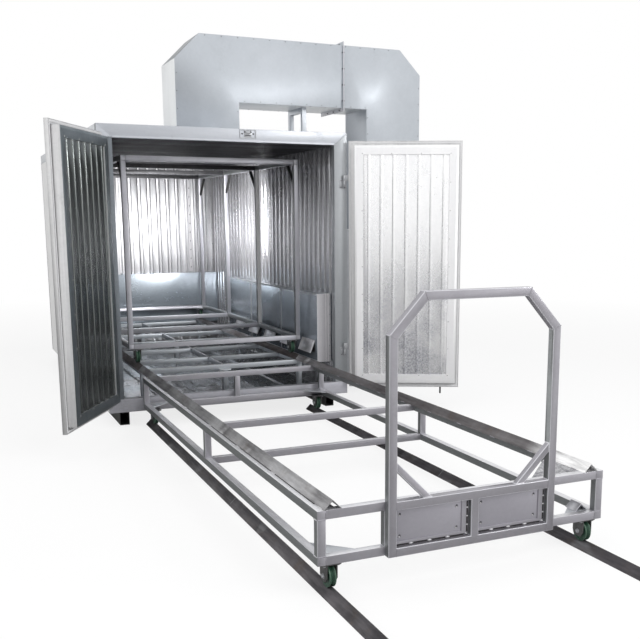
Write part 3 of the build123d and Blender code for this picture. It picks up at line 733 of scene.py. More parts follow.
def finished(name: str, shape: Shape, finish: Finish, node: str, round_off: float = 0.0,
             smooth: bool = False) -> bpy.types.Object:
    """Makes a piece of the object from a shape.

    Args:
        name: the piece's name.
        shape: closed surfaces in the shared frame.
        finish: what it is made of.
        node: CAD node that carries it and gives it its body.
        round_off: width of a bevel on its edges.
        smooth: shades it smooth.

    Returns:
        The object.
    """
    mesh = bpy.data.meshes.new(name)
    mesh.from_pydata(shape.points.tolist(), [], shape.faces)
    work = bmesh.new()
    work.from_mesh(mesh)
    bmesh.ops.recalc_face_normals(work, faces=work.faces)
    work.to_mesh(mesh)
    work.free()
    mesh.validate()
    mesh.materials.append(finish.material())
    made = bpy.data.objects.new(name, mesh)
    bpy.context.scene.collection.objects.link(made)
    if round_off:
        ease_edges(made, round_off)
    elif smooth:
        mesh.shade_smooth()
    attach(made, BODY_OF[node])
    return made


def welded(name: str, lines: list[Line], radius: float, finish: Finish, node: str) -> None:
    """Lays weld beads along lines.

    Args:
        name: the piece's name.
        lines: pairs of points.
        radius: of the beads.
        finish: what they look like.
        node: CAD node that carries them.
    """
    finished(name, gathered([bead(a, b, radius) for a, b in lines]), finish, node, smooth=True)


def ease_edges(made: bpy.types.Object, width: float, edge: Finish | None = None) -> None:
    """Rounds the sharp edges of a piece.

    Args:
        made: the piece.
        width: of the rounding.
        edge: finish of the rounding, where it has one of its own, which paints highlights on the edges.
    """
    made.data.shade_smooth()
    modifier = made.modifiers.new("eased_edges", "BEVEL")
    modifier.width = width
    modifier.segments = 2
    modifier.limit_method = "ANGLE"
    modifier.angle_limit = math.radians(30)
    modifier.harden_normals = True
    if edge is not None:
        made.data.materials.append(edge.material())
        modifier.material = len(made.data.materials) - 1


def concave(mesh: bpy.types.Mesh) -> bool:
    """Tells whether a face with five corners or more has a corner that turns inwards.

    Args:
        mesh: mesh to look through.

    Returns:
        Whether it has such a face.
    """
    for face in mesh.polygons:
        if len(face.vertices) < 5:
            continue
        points = np.array([mesh.vertices[i].co for i in face.vertices])
        edges = np.roll(points, -1, 0) - points
        turns = np.cross(edges, np.roll(edges, -1, 0)) @ np.array(face.normal)
        if turns.min() < -1e-9:
            return True
    return False


def eased(node: str, finish: Finish, width: float = 0.002, others: tuple[tuple[Finish, Picker], ...] = (),
          edge: Finish | None = None) -> None:
    """Stands in for a CAD node with a copy whose faces are merged and whose edges are rounded.

    Args:
        node: the CAD node.
        finish: its finish.
        width: of the rounding.
        others: further finishes, each with a function that tells from the centres and normals of the faces
            which of them get it.
        edge: finish of the rounded edges, which paints highlights on them.
    """
    work = bmesh.new()
    work.from_mesh(frame["nodes"][node].data)
    bmesh.ops.remove_doubles(work, verts=work.verts, dist=1e-5)
    bmesh.ops.dissolve_limit(work, angle_limit=math.radians(1), verts=work.verts, edges=work.edges)
    mesh = bpy.data.meshes.new("dressed_" + node)
    work.to_mesh(mesh)
    mesh.materials.append(finish.material())
    slots = np.zeros(len(mesh.polygons), np.int32)
    centres, normals = np.zeros((2, len(slots), 3), np.float32)
    mesh.polygons.foreach_get("center", centres.ravel())
    mesh.polygons.foreach_get("normal", normals.ravel())
    for number, (other, where) in enumerate(others, 1):
        mesh.materials.append(other.material())
        slots[where(centres, normals)] = number
    mesh.polygons.foreach_set("material_index", slots)
    made = bpy.data.objects.new("dressed_" + node, mesh)
    bpy.context.scene.collection.objects.link(made)
    if concave(mesh):
        work.clear()
        work.from_mesh(mesh)
        bmesh.ops.triangulate(work, faces=[f for f in work.faces if len(f.verts) > 4])
        work.to_mesh(mesh)
    work.free()
    ease_edges(made, width, edge)
    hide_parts(node)
    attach(made, BODY_OF[node])


def on_top(centres: np.ndarray, normals: np.ndarray) -> np.ndarray:
    """Tells the faces that look up."""
    return normals[:, 2] > 0.5


def on_left(centres: np.ndarray, normals: np.ndarray) -> np.ndarray:
    """Tells the upright faces that look to the left."""
    return (normals[:, 0] < -0.4) & (np.abs(normals[:, 2]) < 0.5)


# ---- the oven


@dataclass
class OvenShell:
    """Sandwich walls, roof, doorway frame and skids."""

    half_w: float = 1.0
    wall_face: float = 0.942
    back_face: float = 3.812
    depth: float = 3.87
    opening_x: float = 0.888
    opening_top: float = 2.188
    top: float = 2.286
    keeper_at: Point = (0.155, -0.004, 2.249)
    keeper_half: Span = (0.066, 0.033)
    strips_x: Span = (-0.16, 0.62)
    strip_half: float = 0.045
    strip_t: float = 0.006

    def build(self) -> None:
        """Dresses the walls, roof, frame and skids and adds trims and screws."""
        for node, sign, outer in (("right_wall", 1, OUTER_ZINC), ("left_wall", -1, LEFT_WALL_ZINC)):
            eased(node, CHAMBER_ZINC, 0.0012,
                  ((outer, lambda c, n, s=sign: s * c[:, 0] > self.half_w - 0.001),))
        eased("back_wall", BACK_ZINC, 0.0012, ((OUTER_ZINC, lambda c, n: c[:, 1] > self.depth - 0.001),))
        eased("roof_panel", OUTER_ZINC)
        # The ceiling sheet's near-black finish is painted shade.
        eased("ceiling_sheet", CEILING_PAINTED_SHADE_ZINC, 0.001)
        eased("floor_panel", FLOOR_ZINC, 0.001)
        eased("front_header", HEADER_ZINC)
        eased("front_jambs", JAMB_ZINC, others=((SHADED_ZINC, lambda c, n: c[:, 0] < 0),))
        eased("front_sill", SILL_ZINC)
        eased("base_skids", BLACK_STEEL_AND_SHADE)
        self.keeper()
        self.trims()
        self.screws()

    def keeper(self) -> None:
        """Latch keeper: plate with a raised rim, a bolted strap and a dark slab that paints the shadow in its
        slot.
        """
        eased("latch_keeper", HINGE_STEEL, 0.001)
        (x, y, z), (w, h) = self.keeper_at, self.keeper_half
        rim = hoop((x - w, x + w), (y - 0.003, y + 0.004), (z - h, z + h), 0.006)
        strap = lathe(Axis.X, [(-0.017, 0.002), (-0.016, 0.006), (0.016, 0.006), (0.017, 0.002)],
                      (x, y - 0.003, z + 0.006), 14)
        finished("keeper_rim", gathered([rim, strap]), HINGE_STEEL, "latch_keeper", 0.0004)
        # A thin dark slab paints the shadow in the keeper's slot.
        slot = slab((x - 0.024, y - 0.0008, z - 0.018), (x + 0.024, y + 0.001, z - 0.006))
        bolts = [(x - 0.024, y, z + 0.014), (x + 0.024, y, z + 0.014), (x - 0.045, y + 0.004, z),
                 (x + 0.045, y + 0.004, z)]
        finished("keeper_slot", gathered([slot, heads(bolts, TO_FRONT, 0.007, 0.006, 8)]), SCREW_STEEL,
                 "latch_keeper", 0.0002)

    def trims(self) -> None:
        """Lip under the header, mitre plate at its left end, and cover strips over the back wall's joints."""
        lip = slab((-self.opening_x, -0.0025, self.opening_top),
                   (self.opening_x, 0.001, self.opening_top + 0.015))
        finished("header_lip", lip, HEADER_ZINC, "front_header", 0.0006)
        x0, x1 = -self.half_w + 0.001, -self.opening_x - 0.001
        z0, z1 = self.opening_top + 0.004, self.top - 0.001
        plate = along(Axis.Y, [(x0, z0), (x0, z1), (x1, z0)], [-0.0015, 0.001])
        finished("mitre_plate", plate, HEADER_ZINC, "front_header", 0.0004)
        y, out, half = self.back_face + 0.001, self.back_face - self.strip_t, self.strip_half
        profile = np.array([(-half, y), (0.003 - half, out), (half - 0.003, out), (half, y)])
        strips = [along(Axis.Z, profile + (x, 0), [0.98, 1.6, 2.19]) for x in self.strips_x]
        finished("wall_strips", gathered(strips), TRIM_ZINC, "back_wall", 0.0006)

    def screws(self) -> None:
        """Rows of screws on the cover strips, in the chamber's corners and under the ceiling."""
        rows = []
        for side, strip in zip(SIDES, self.strips_x):
            x, back, inward = side * self.wall_face, self.back_face, (-side, 0, 0)
            upper, full = np.arange(1.03, 2.16, 0.103), np.arange(0.35, 2.16, 0.19)
            deep = np.arange(0.2, 3.7, 0.22)
            rows += [heads(spots(strip + 0.025, back - self.strip_t, upper), TO_FRONT, 0.007, 0.004),
                     heads(spots(side * 0.915, back, full), TO_FRONT, 0.006, 0.003),
                     heads(spots(x, back - 0.045, full), inward, 0.006, 0.003),
                     heads(spots(x, deep, 2.17), inward, 0.005, 0.0025)]
        finished("chamber_screws", gathered(rows), SCREW_STEEL, "back_wall", smooth=True)


@dataclass
class LowDucts:
    """Air ducts low on the right and back walls, with tilted flaps on the right-hand one."""

    face_x: float = 0.804
    wall_x: float = 0.93
    front: float = 0.195
    end: float = 2.8
    top: float = 0.965
    bottom: float = 0.374
    hinge_z: float = 0.557
    flap_w: float = 0.285
    flap_h: float = 0.116
    flap_rim: float = 0.006
    flap_first: float = 0.387
    flap_pitch: float = 0.48
    flap_count: int = 5
    tilt: float = 22.0
    seams: Span = (1.1, 2.0)

    def build(self) -> None:
        """Dresses the ducts and flaps and adds the folds of the front end, the lips and the flaps' rims."""
        # The duct's front end gets a bright finish as painted light.
        eased("wall_duct_right", LOW_DUCT_ZINC, 0.0015, ((PAINTED_LIGHT_END_ZINC, lambda c, n: n[:, 1] < -0.9),))
        eased("wall_duct_back", LOW_DUCT_ZINC, 0.0015)
        eased("duct_flaps", EDGE_ZINC, 0.0008)
        self.folds()
        self.lips()
        self.rims()

    def folds(self) -> None:
        """Upright folds of the sheet over the duct's front end, with a row of screws."""
        y, made = self.front, []
        for x0, x1, out in ((self.face_x + 0.002, self.face_x + 0.078, 0.002),
                            (self.face_x + 0.084, self.wall_x - 0.028, 0.003),
                            (self.wall_x - 0.02, self.wall_x - 0.002, 0.005)):
            profile = [(x0, y + 0.001), (x0 + 0.001, y - out), (x1 - 0.001, y - out), (x1, y + 0.001)]
            made.append(along(Axis.Z, profile, [self.bottom + 0.002, 0.65, self.top - 0.002]))
        finished("duct_end_folds", gathered(made), TRIM_ZINC, "wall_duct_right", 0.0006)
        places = spots(self.wall_x - 0.011, y - 0.005, np.arange(self.bottom + 0.05, self.top, 0.09))
        finished("duct_end_screws", heads(places, TO_FRONT, 0.0035, 0.002), SCREW_STEEL, "wall_duct_right",
                 smooth=True)

    def lips(self) -> None:
        """Lips along the duct's top and bottom edges and standing seams down its side."""
        x, made = self.face_x, []
        for z, way in ((self.top, -1), (self.bottom, 1)):
            low, high = z - 0.001 * way, z + 0.014 * way
            profile = [(x + 0.001, low), (x - 0.003, low), (x - 0.003, high), (x + 0.001, high)]
            made.append(along(Axis.Y, profile, [self.front, 1.5, self.end]))
        for y in self.seams:
            y0, y1 = y - 0.014, y + 0.014
            profile = [(x + 0.001, y0), (x - 0.002, y0), (x - 0.002, y1), (x + 0.001, y1)]
            made.append(along(Axis.Z, profile, [self.bottom + 0.015, self.top - 0.015]))
        finished("duct_lips", gathered(made), OUTER_ZINC, "wall_duct_right", 0.0005)

    def rims(self) -> None:
        """Upturned rim round each flap, and a black slab that paints the shadow in the opening behind its
        hinge line.
        """
        a = math.radians(self.tilt)
        down, out = np.array([-math.sin(a), 0, -math.cos(a)]), np.array([-math.cos(a), 0, math.sin(a)])
        along_y = np.array([0, 1, 0])
        x, z, w, h, t = self.face_x, self.hinge_z, self.flap_w / 2, self.flap_h, self.flap_rim
        rims, gaps = [], []
        for y in self.flap_first + self.flap_pitch * np.arange(self.flap_count):
            middle = np.array([x, y, z]) + out * 0.003
            for y0, y1, s0, s1 in ((-w, -w + t, 0.0, h), (w - t, w, 0.0, h), (-w + t, w - t, 0.0, t),
                                   (-w + t, w - t, h - t, h)):
                corners = ((y0, s0), (y1, s0), (y1, s1), (y0, s1))
                ring = np.array([middle + along_y * p + down * s for p, s in corners])
                rims.append(skin(np.stack([ring - out * 0.001, ring + out * 0.006])))
            gaps.append(slab((x - 0.0012, y - w + 0.006, z - h + 0.012),
                             (x + 0.001, y + w - 0.006, z - 0.006)))
        finished("flap_rims", gathered(rims), TRIM_ZINC, "duct_flaps", 0.0005)
        # Black slabs paint the shadow in the openings behind the flaps.
        finished("flap_openings", gathered(gaps), BLACK_STEEL_AND_SHADE, "wall_duct_right")


@dataclass
class Track:
    """Track inside the oven: tube frame, centre bar, posts and angle rails."""

    gauge: float = 0.678
    top: float = 0.394
    front: float = 0.3
    back: float = 3.65
    rows: tuple[float, ...] = (0.77, 1.37, 1.97, 2.57, 3.17)
    tube: float = 0.04
    foot: float = 0.0424
    tack_pitch: float = 0.4

    def build(self) -> None:
        """Dresses the track and welds it."""
        eased("track_rails", TRACK_RAIL, 0.0008)
        # The tops of the track's tubes and of the centre bar get painted light.
        for node in ("track_long_beams", "track_cross_beams", "track_posts"):
            eased(node, TUBE_ZINC, 0.003, ((TUBE_TOP_PAINTED_LIGHT, on_top),))
        eased("track_centre_bar", TUBE_ZINC, 0.001, ((CART_TOP_PAINTED_LIGHT, on_top),))
        self.tee_tacks()
        self.welds()

    def tee_tacks(self) -> None:
        """Tacks beside and behind the tee at the front."""
        y, z = self.front, self.top - 0.034
        tacks = [((s * 0.048, y - 0.036, z), (s * 0.048, y - 0.004, z)) for s in SIDES]
        tacks += [((s * 0.02, y - self.tube, z - 0.012), (s * 0.02, y - self.tube, z)) for s in SIDES]
        welded("tee_tacks", tacks, 0.005, WELD_STEEL, "track_posts")

    def welds(self) -> None:
        """Beads at the cross tubes' ends and along the rails, and burns where the centre bar crosses."""
        t, top, low = self.tube, self.top, self.top - self.tube + 0.003
        burns, beads = [], []
        for y in self.rows:
            for side in SIDES:
                x = side * 0.008
                burns += [((x, y + 0.004, top), (x, y + 0.016, top)),
                          ((x, y, top - 0.02), (x, y, top - 0.004))]
                x = side * (self.gauge - t / 2)
                beads += [((x, y, low), (x, y, top - 0.003)), ((x, y + 0.003, top), (x, y + t - 0.003, top))]
        for side in SIDES:
            x, y = side * (self.gauge - t / 2), self.front + t
            beads += [((x, y, low), (x, y, top)), ((x, self.front + 0.003, top), (x, y, top))]
        for side in SIDES:
            x = side * self.gauge - side * self.foot
            beads += [((x, y, top), (x, y + t, top)) for y in np.arange(self.front + 0.05, self.back - 0.1,
                                                                        self.tack_pitch)]
        welded("track_welds", beads, 0.0026, GREY_WELD, "track_cross_beams")
        welded("track_burns", burns, 0.0055, BURNT_WELD_AND_SLOT_SHADOW, "track_cross_beams")


@dataclass
class RoofDuct:
    """Air duct over the roof, in two halves bolted at a flanged seam, its stand and the heater housing."""

    left: float = -0.257
    right: float = 2.0
    front: float = 0.6
    back: float = 1.063
    soffit: float = 2.558
    top: float = 3.087
    chamfer: float = 0.208
    leg: float = 0.537
    roof: float = 2.286
    seam_x: float = 1.23
    seam_out: float = 0.028
    seam_t: float = 0.004
    rivet_pitch: float = 0.14
    rivet_in: float = 0.012
    bolt_pitch: float = 0.135

    def build(self) -> None:
        """Dresses the duct, the stand and the housing and adds the rivets and the seam's bolts."""
        # The left cheek and the soffit get painted light, and the sloping sheet at the left top corner gets
        # painted shade.
        for half in Side:
            eased("roof_duct_" + half.word, DUCT_ZINC, 0.0015,
                  ((TRIM_ZINC, self.on_seam), (PAINTED_LIGHT_CHEEK_ZINC, self.on_cheek), (SHADED_ZINC, self.on_slope)))
        # The stand's rounded edges get painted highlights.
        eased("roof_duct_stand", TUBE_ZINC, edge=BRIGHT_ZINC_AND_EDGE_HIGHLIGHT)
        eased("heater_housing", OUTER_ZINC, 0.003)
        self.rivets()
        self.seam()

    def on_cheek(self, centres: np.ndarray, normals: np.ndarray) -> np.ndarray:
        """Tells the left cheek and the soffit, which get painted light, from the rest."""
        soffit = (normals[:, 2] < -0.9) & (centres[:, 2] > self.soffit - 0.001)
        return soffit | ((normals[:, 0] < -0.5) & (centres[:, 0] < self.left + 0.001))

    def on_slope(self, centres: np.ndarray, normals: np.ndarray) -> np.ndarray:
        """Tells the sloping sheet at the left top corner."""
        return (normals[:, 0] < -0.4) & (normals[:, 2] > 0.4)

    def on_seam(self, centres: np.ndarray, normals: np.ndarray) -> np.ndarray:
        """Tells the faces of the seam's flange from the duct's.

        Args:
            centres: of the faces.
            normals: of the faces, not used.

        Returns:
            A truth value for each face.
        """
        x, y, z = centres.T
        edge = self.seam_out / 4
        out = ((y < self.front - edge) | (y > self.back + edge)
               | (z > self.top + edge) | (z < self.soffit - edge))
        return (np.abs(x - self.seam_x) < self.seam_t + 0.001) & out

    def rivets(self) -> None:
        """Rivets along the long edges of the front, the back and the soffit."""
        step, inset, low = self.rivet_pitch, self.rivet_in, self.roof + 0.06
        x0, x1, y0, y1 = self.left, self.right, self.front, self.back
        places = [(x, self.top - inset) for x in np.arange(x0 + self.chamfer + 0.05, x1 - self.chamfer, step)]
        bridge = np.arange(x0 + self.leg + 0.05, x1 - self.leg, step)
        places += [(x, self.soffit + inset) for x in bridge]
        for z in np.arange(low, self.top - self.chamfer, step):
            places += [(x0 + inset, z), (x1 - inset, z)]
        for z in np.arange(low, self.soffit, step):
            places += [(x0 + self.leg - inset, z), (x1 - self.leg + inset, z)]
        x, z = np.array(places).T
        under = [spots(np.arange(x0 + self.leg + 0.09, x1 - self.leg, step), y, self.soffit)
                 for y in (y0 + 0.014, y1 - 0.014)]
        rows = ((spots(x, y0, z), TO_FRONT), (spots(x, y1, z), TO_BACK), (np.vstack(under), DOWN))
        shapes = [heads(at, way, 0.0042, 0.0024) for at, way in rows]
        finished("duct_rivets", gathered(shapes), SCREW_STEEL, "roof_duct_left", smooth=True)

    def seam(self) -> None:
        """Bolts through the seam's flange, heads on one side and nuts on the other."""
        x0, x1 = self.seam_x - self.seam_t, self.seam_x + self.seam_t
        half, step = self.seam_out / 2, self.bolt_pitch
        places = [(y, z) for y in (self.front - half, self.back + half)
                  for z in np.arange(self.soffit + 0.06, self.top, step)]
        places += [(y, z) for y in np.arange(self.front + 0.06, self.back, step)
                   for z in (self.top + half, self.soffit - half)]
        bolts = [hexagon(Axis.X, (0, y, z), 0.011, start, end) for y, z in places
                 for start, end in ((x0 - 0.006, x0 + 0.001), (x1 - 0.001, x1 + 0.008))]
        finished("seam_bolts", gathered(bolts), SCREW_STEEL, "roof_duct_left", 0.0004)


@dataclass
class Door:
    """One leaf: outer board, plug with a mitred border, ribbed lining, seal and hinge halves. Its own pieces
    are drawn closed on the right and swung to where the leaf stands open."""

    side: Side
    degrees: float
    lining: Finish
    border: Finish
    pin: Span = (0.966, -0.025)
    plug_x: Span = (0.035, 0.88)
    plug_y: Span = (-0.01, 0.052)
    plug_z: Span = (0.233, 2.18)
    flange: float = 0.017
    border_w: float = 0.074
    board_t: float = 0.002
    screw_pitch: float = 0.23
    leaf_x: Span = (0.003, 0.93)
    leaf_z: Span = (0.189, 2.219)

    def swung(self, shape: Shape) -> Shape:
        """Turns a shape about the hinge pin to the open leaf, and mirrors it for the left-hand one.

        Args:
            shape: closed surfaces of the closed right-hand leaf.

        Returns:
            The shape where the leaf stands open.
        """
        a = math.radians(self.degrees)
        x, y = self.pin
        dx, dy = shape.points[:, 0] - x, shape.points[:, 1] - y
        out = np.stack([self.side.value * (x + math.cos(a) * dx - math.sin(a) * dy),
                        y + math.sin(a) * dx + math.cos(a) * dy, shape.points[:, 2]], -1)
        return Shape(out, shape.faces)

    def on_plug(self, centres: np.ndarray, normals: np.ndarray) -> np.ndarray:
        """Tells the faces of the plug that look into the oven.

        Args:
            centres: of the faces.
            normals: of the faces.

        Returns:
            A truth value for each face.
        """
        a = math.radians(self.degrees)
        inward = np.array([-self.side.value * math.sin(a), math.cos(a), 0.0])
        pin = np.array([self.side.value * self.pin[0], self.pin[1], 0.0])
        return (normals @ inward > 0.9) & ((centres - pin) @ inward > self.plug_y[0] - self.pin[1] + 0.03)

    def build(self) -> None:
        """Dresses the leaf and adds its border boards, screws, folds and the joint under the plug."""
        word = self.side.word
        leaf = "door_leaf_" + word
        eased(leaf, EDGE_ZINC, 0.0015, ((self.border, self.on_plug),))
        eased("door_lining_" + word, self.lining, 0.001)
        eased("door_seal_" + word, SEAL_RUBBER, 0.001)
        eased("leaf_hinges_" + word, HINGE_STEEL, 0.001)
        finished("border_boards_" + word, self.swung(self.boards()), self.border, leaf, 0.0007)
        finished("border_screws_" + word, self.swung(self.screws()), BRIGHT_SCREW_AND_GLINT, leaf, smooth=True)
        finished("leaf_folds_" + word, self.swung(self.folds()), EDGE_ZINC, leaf, 0.0005)
        finished("plug_joint_" + word, self.swung(self.joint()), SCREW_STEEL, leaf)

    def boards(self) -> Shape:
        """Four mitred boards of the border, with a hair's gap at the mitres and a groove outside them.

        Returns:
            The boards on the closed leaf.
        """
        f, w, g = self.flange, self.border_w - self.flange, 0.0007
        (x0, x1), (z0, z1) = self.plug_x, self.plug_z
        x0, x1, z0, z1 = x0 + f, x1 - f, z0 + f, z1 - f
        outlines = [[(x0 + g, z1), (x1 - g, z1), (x1 - w - g, z1 - w), (x0 + w + g, z1 - w)],
                    [(x0 + g, z0), (x1 - g, z0), (x1 - w - g, z0 + w), (x0 + w + g, z0 + w)],
                    [(x0, z0 + g), (x0, z1 - g), (x0 + w, z1 - w - g), (x0 + w, z0 + w + g)],
                    [(x1, z0 + g), (x1, z1 - g), (x1 - w, z1 - w - g), (x1 - w, z0 + w + g)]]
        back = self.plug_y[1]
        return gathered([along(Axis.Y, outline, [back - 0.001, back + self.board_t]) for outline in outlines])

    def screws(self) -> Shape:
        """Screws near the inner edges of the border boards.

        Returns:
            Their heads on the closed leaf.
        """
        (x0, x1), (z0, z1) = self.plug_x, self.plug_z
        inset, y = self.border_w - 0.009, self.plug_y[1] + self.board_t
        x0, x1, z0, z1 = x0 + inset, x1 - inset, z0 + inset, z1 - inset
        up = np.linspace(z0, z1, round((z1 - z0) / self.screw_pitch) + 1)
        across = np.linspace(x0, x1, round((x1 - x0) / self.screw_pitch) + 1)[1:-1]
        rows = [spots(x, y, up) for x in (x0, x1)] + [spots(across, y, z) for z in (z0, z1)]
        return heads(np.vstack(rows), TO_BACK, 0.0045, 0.003, 8)

    def joint(self) -> Shape:
        """Dark sealed joint where the plug stands on the outer board."""
        (x0, x1), (z0, z1), y, w = self.plug_x, self.plug_z, self.plug_y[0], 0.004
        return hoop((x0 - w, x1 + w), (y - 0.001, y + 0.002), (z0 - w, z1 + w), w + 0.001, 0.001)

    def folds(self) -> Shape:
        """Folded edge round the outer board's inner face, outside the seal."""
        (x0, x1), (z0, z1), y, g = self.leaf_x, self.leaf_z, self.plug_y[0], 0.001
        return hoop((x0 + g, x1 - g), (y - g, y + 0.0015), (z0 + g, z1 - g), 0.005)


@dataclass
class DoorFittings:
    """Fixed hinge halves on the jambs and the drop bolt with its guides."""

    heights: Span = (0.465, 1.855)
    knuckle: float = 0.046
    plate_x: Span = (0.936, 0.99)
    plate_t: float = 0.004

    def build(self) -> None:
        """Dresses the fittings and adds the screws of the plates."""
        eased("jamb_hinges", HINGE_STEEL, 0.001)
        eased("bolt_guides", BLACK_STEEL_AND_SHADE, 0.001)
        eased("drop_bolt", BLACK_STEEL_AND_SHADE, 0.001)
        places = [(side * x, -self.plate_t, z + up) for side in SIDES
                  for x in (self.plate_x[0] + 0.01, self.plate_x[1] - 0.01)
                  for z in self.heights for up in (-0.004, self.knuckle + 0.004)]
        finished("hinge_screws", heads(places, TO_FRONT, 0.005, 0.0025, 8), SCREW_STEEL, "jamb_hinges",
                 smooth=True)


@dataclass
class Cart:
    """Transfer cart: tube frame, rails, corner plates and the handle portal."""

    half_w: float = 0.75
    front: float = -3.601
    rear: float = -0.036
    middle: float = -1.835
    bottom: float = 0.15
    top: float = 0.394
    tube: float = 0.04
    gauge: float = 0.678
    foot: float = 0.0424
    ridge: float = 0.4364
    rail_end: float = 0.292
    tack_pitch: float = 0.36
    gap_pitch: float = 0.56
    portal_half: float = 0.435
    portal_bend: float = 1.121
    portal_top: float = 1.3
    portal_chamfer: float = 0.165
    plate_low: float = 0.19
    plate_high: float = 0.36
    plate_in: float = 0.015

    def build(self) -> None:
        """Dresses the cart and adds its welds, the painted shadows in the gaps beside its rails and what the
        handle plates carry.
        """
        # Tops of the cart's tubes get painted light and their left faces get painted shade; the posts'
        # rounded edges get painted highlights.
        for node in ("cart_long_beams", "cart_posts", "cart_cross_beams", "cart_rail_strips"):
            edge = BRIGHT_ZINC_AND_EDGE_HIGHLIGHT if node == "cart_posts" else None
            eased(node, CART_ZINC, 0.003 if edge else 0.0015, ((CART_TOP_PAINTED_LIGHT, on_top), (CART_SIDE_PAINTED_SHADE, on_left)),
                  edge)
        eased("cart_rails", CART_RAIL, 0.0008, ((RIGHT_RAIL, lambda c, n: c[:, 0] > 0),))
        eased("cart_gussets", OUTER_ZINC, 0.001, ((SPECKLED_ZINC, lambda c, n: c[:, 2] > 0.3),))
        eased("cart_stop_angle", BRIGHT_ZINC_AND_EDGE_HIGHLIGHT, 0.001)
        # The portal's darker zinc is painted shade. Its left faces get more painted shade and its rounded
        # edges get painted highlights.
        eased("handle_portal", PORTAL_PAINTED_SHADE_ZINC, 0.003, ((CART_SIDE_PAINTED_SHADE, on_left),), BRIGHT_ZINC_AND_EDGE_HIGHLIGHT)
        eased("handle_plates", PLATE_ZINC, 0.0008)
        self.rail_gaps()
        welded("cart_welds", self.frame_lines(), 0.0026, CART_ZINC, "cart_cross_beams")
        welded("cart_bright_welds", self.bright_lines(), 0.003, WELD_STEEL, "cart_cross_beams")
        self.portal_welds()
        self.plates()

    def frame_lines(self) -> list[Line]:
        """Lines where cross beams, posts and rails meet the side frames.

        Returns:
            Pairs of points.
        """
        inner, t = self.half_w - self.tube, self.tube
        lines = []
        for y in (self.front, self.middle, self.rear - t):
            for z in (self.bottom, self.top - t):
                lines += [((s * inner, y + d, z + 0.004), (s * inner, y + d, z + t - 0.004))
                          for s in SIDES for d in (0, t)]
            for side in SIDES:
                x = sorted((side * inner, side * self.half_w))
                for z in (self.bottom + t, self.top - t):
                    lines += box_lines(x, (y, y + t), z)
        for side in SIDES:
            x = side * (self.gauge - self.foot)
            lines += [((x, y, self.top), (x, y + 0.045, self.top))
                      for y in np.arange(self.front + 0.06, self.rear, self.tack_pitch)]
        return lines

    def bright_lines(self) -> list[Line]:
        """Lines of the fresh welds at the rails' ends and the front posts.

        Returns:
            Pairs of points.
        """
        t, lines = self.tube, []
        for side in SIDES:
            x = side * (self.gauge + self.foot)
            lines += [((x, y, self.top), (x, y + 0.05, self.top))
                      for y in (self.front + 0.02, self.rear - 0.06)]
            y = self.rail_end + 0.004
            lines.append(((side * self.gauge, y, self.ridge - 0.003),
                          (side * (self.gauge - 0.034), y, self.top + 0.006)))
            x = side * (self.half_w + 0.001)
            lines += [((x, self.front + 0.004, z), (x, self.front + t, z))
                      for z in (self.bottom + t, self.top - t)]
        return lines

    def rail_gaps(self) -> None:
        """Black strips that paint the shadow in the gaps between the rails' outer feet and the beams, between
        one tack and the next.
        """
        gaps = []
        for side in SIDES:
            edge = self.gauge + self.foot
            x0, x1 = sorted((side * (edge - 0.002), side * (edge + 0.004)))
            for y in np.arange(self.front + 0.1, self.rear - 0.1, self.gap_pitch):
                gaps.append(slab((x0, y, self.top - 0.001), (x1, min(y + 0.5, self.rear), self.top + 0.0015)))
        finished("rail_gaps", gathered(gaps), BLACK_STEEL_AND_SHADE, "cart_long_beams")

    def portal_welds(self) -> None:
        """Beads over the mitred bends of the portal and round its feet, front and back."""
        h, c, t = self.portal_half, self.portal_chamfer, self.tube
        k = t * (math.sqrt(2) - 1)
        lines = []
        for y in (self.front - t, self.front):
            for s in SIDES:
                lines += [((s * h, y, self.portal_bend), (s * (h - t), y, self.portal_bend - k)),
                          ((s * (h - c), y, self.portal_top), (s * (h - c - k), y, self.portal_top - t))]
                lines += [((s * (h - t), y, z), (s * (h - t), y, z + t))
                          for z in (self.plate_high, self.plate_low - t)]
        welded("portal_welds", lines, 0.0018, PORTAL_PAINTED_SHADE_ZINC, "handle_portal")

    def plates(self) -> None:
        """Screws of the handle plates with small bright heads beside them as painted glints, and tack-welded
        ledges with dark slabs on the right and below that paint the shadow in their slots.
        """
        y, z0, z1 = self.front - self.plate_in, self.plate_low, self.plate_high
        h, t = self.portal_half - self.tube, self.tube / 2
        ledges, slots, tacks, screws = [], [], [], []
        for x0, x1 in ((-h, -t), (t, h)):
            ledges += [slab((x1 - 0.038, y - 0.005, z0 + 0.01), (x1 - 0.014, y + 0.001, z1 - 0.006)),
                       slab((x0 + 0.004, y - 0.005, z0 + 0.01), (x1 - 0.038, y + 0.001, z0 + 0.022))]
            slots += [slab((x1 - 0.012, y - 0.002, z0 + 0.016), (x1 - 0.005, y + 0.001, z1 - 0.012)),
                      slab((x0 + 0.012, y - 0.002, z0 + 0.002), (x1 - 0.024, y + 0.001, z0 + 0.008))]
            tacks += [((x1 - 0.015, y - 0.003, z), (x1 - 0.003, y - 0.003, z))
                      for z in np.linspace(z0 + 0.05, z1 - 0.04, 3)]
            tacks += [((x, y - 0.003, z0 + 0.006), (x + 0.022, y - 0.003, z0 + 0.006))
                      for x in np.linspace(x0 + 0.07, x1 - 0.12, 3)]
            tacks.append(((x1 - 0.022, y - 0.004, z0 + 0.012), (x1 - 0.006, y - 0.004, z0 + 0.006)))
            screws += [(x, y, z) for x in (x0 + 0.026, x1 - 0.062) for z in (z0 + 0.046, z1 - 0.026)]
        node = "handle_plates"
        finished("plate_ledges", gathered(ledges), CART_ZINC, node, 0.0008)
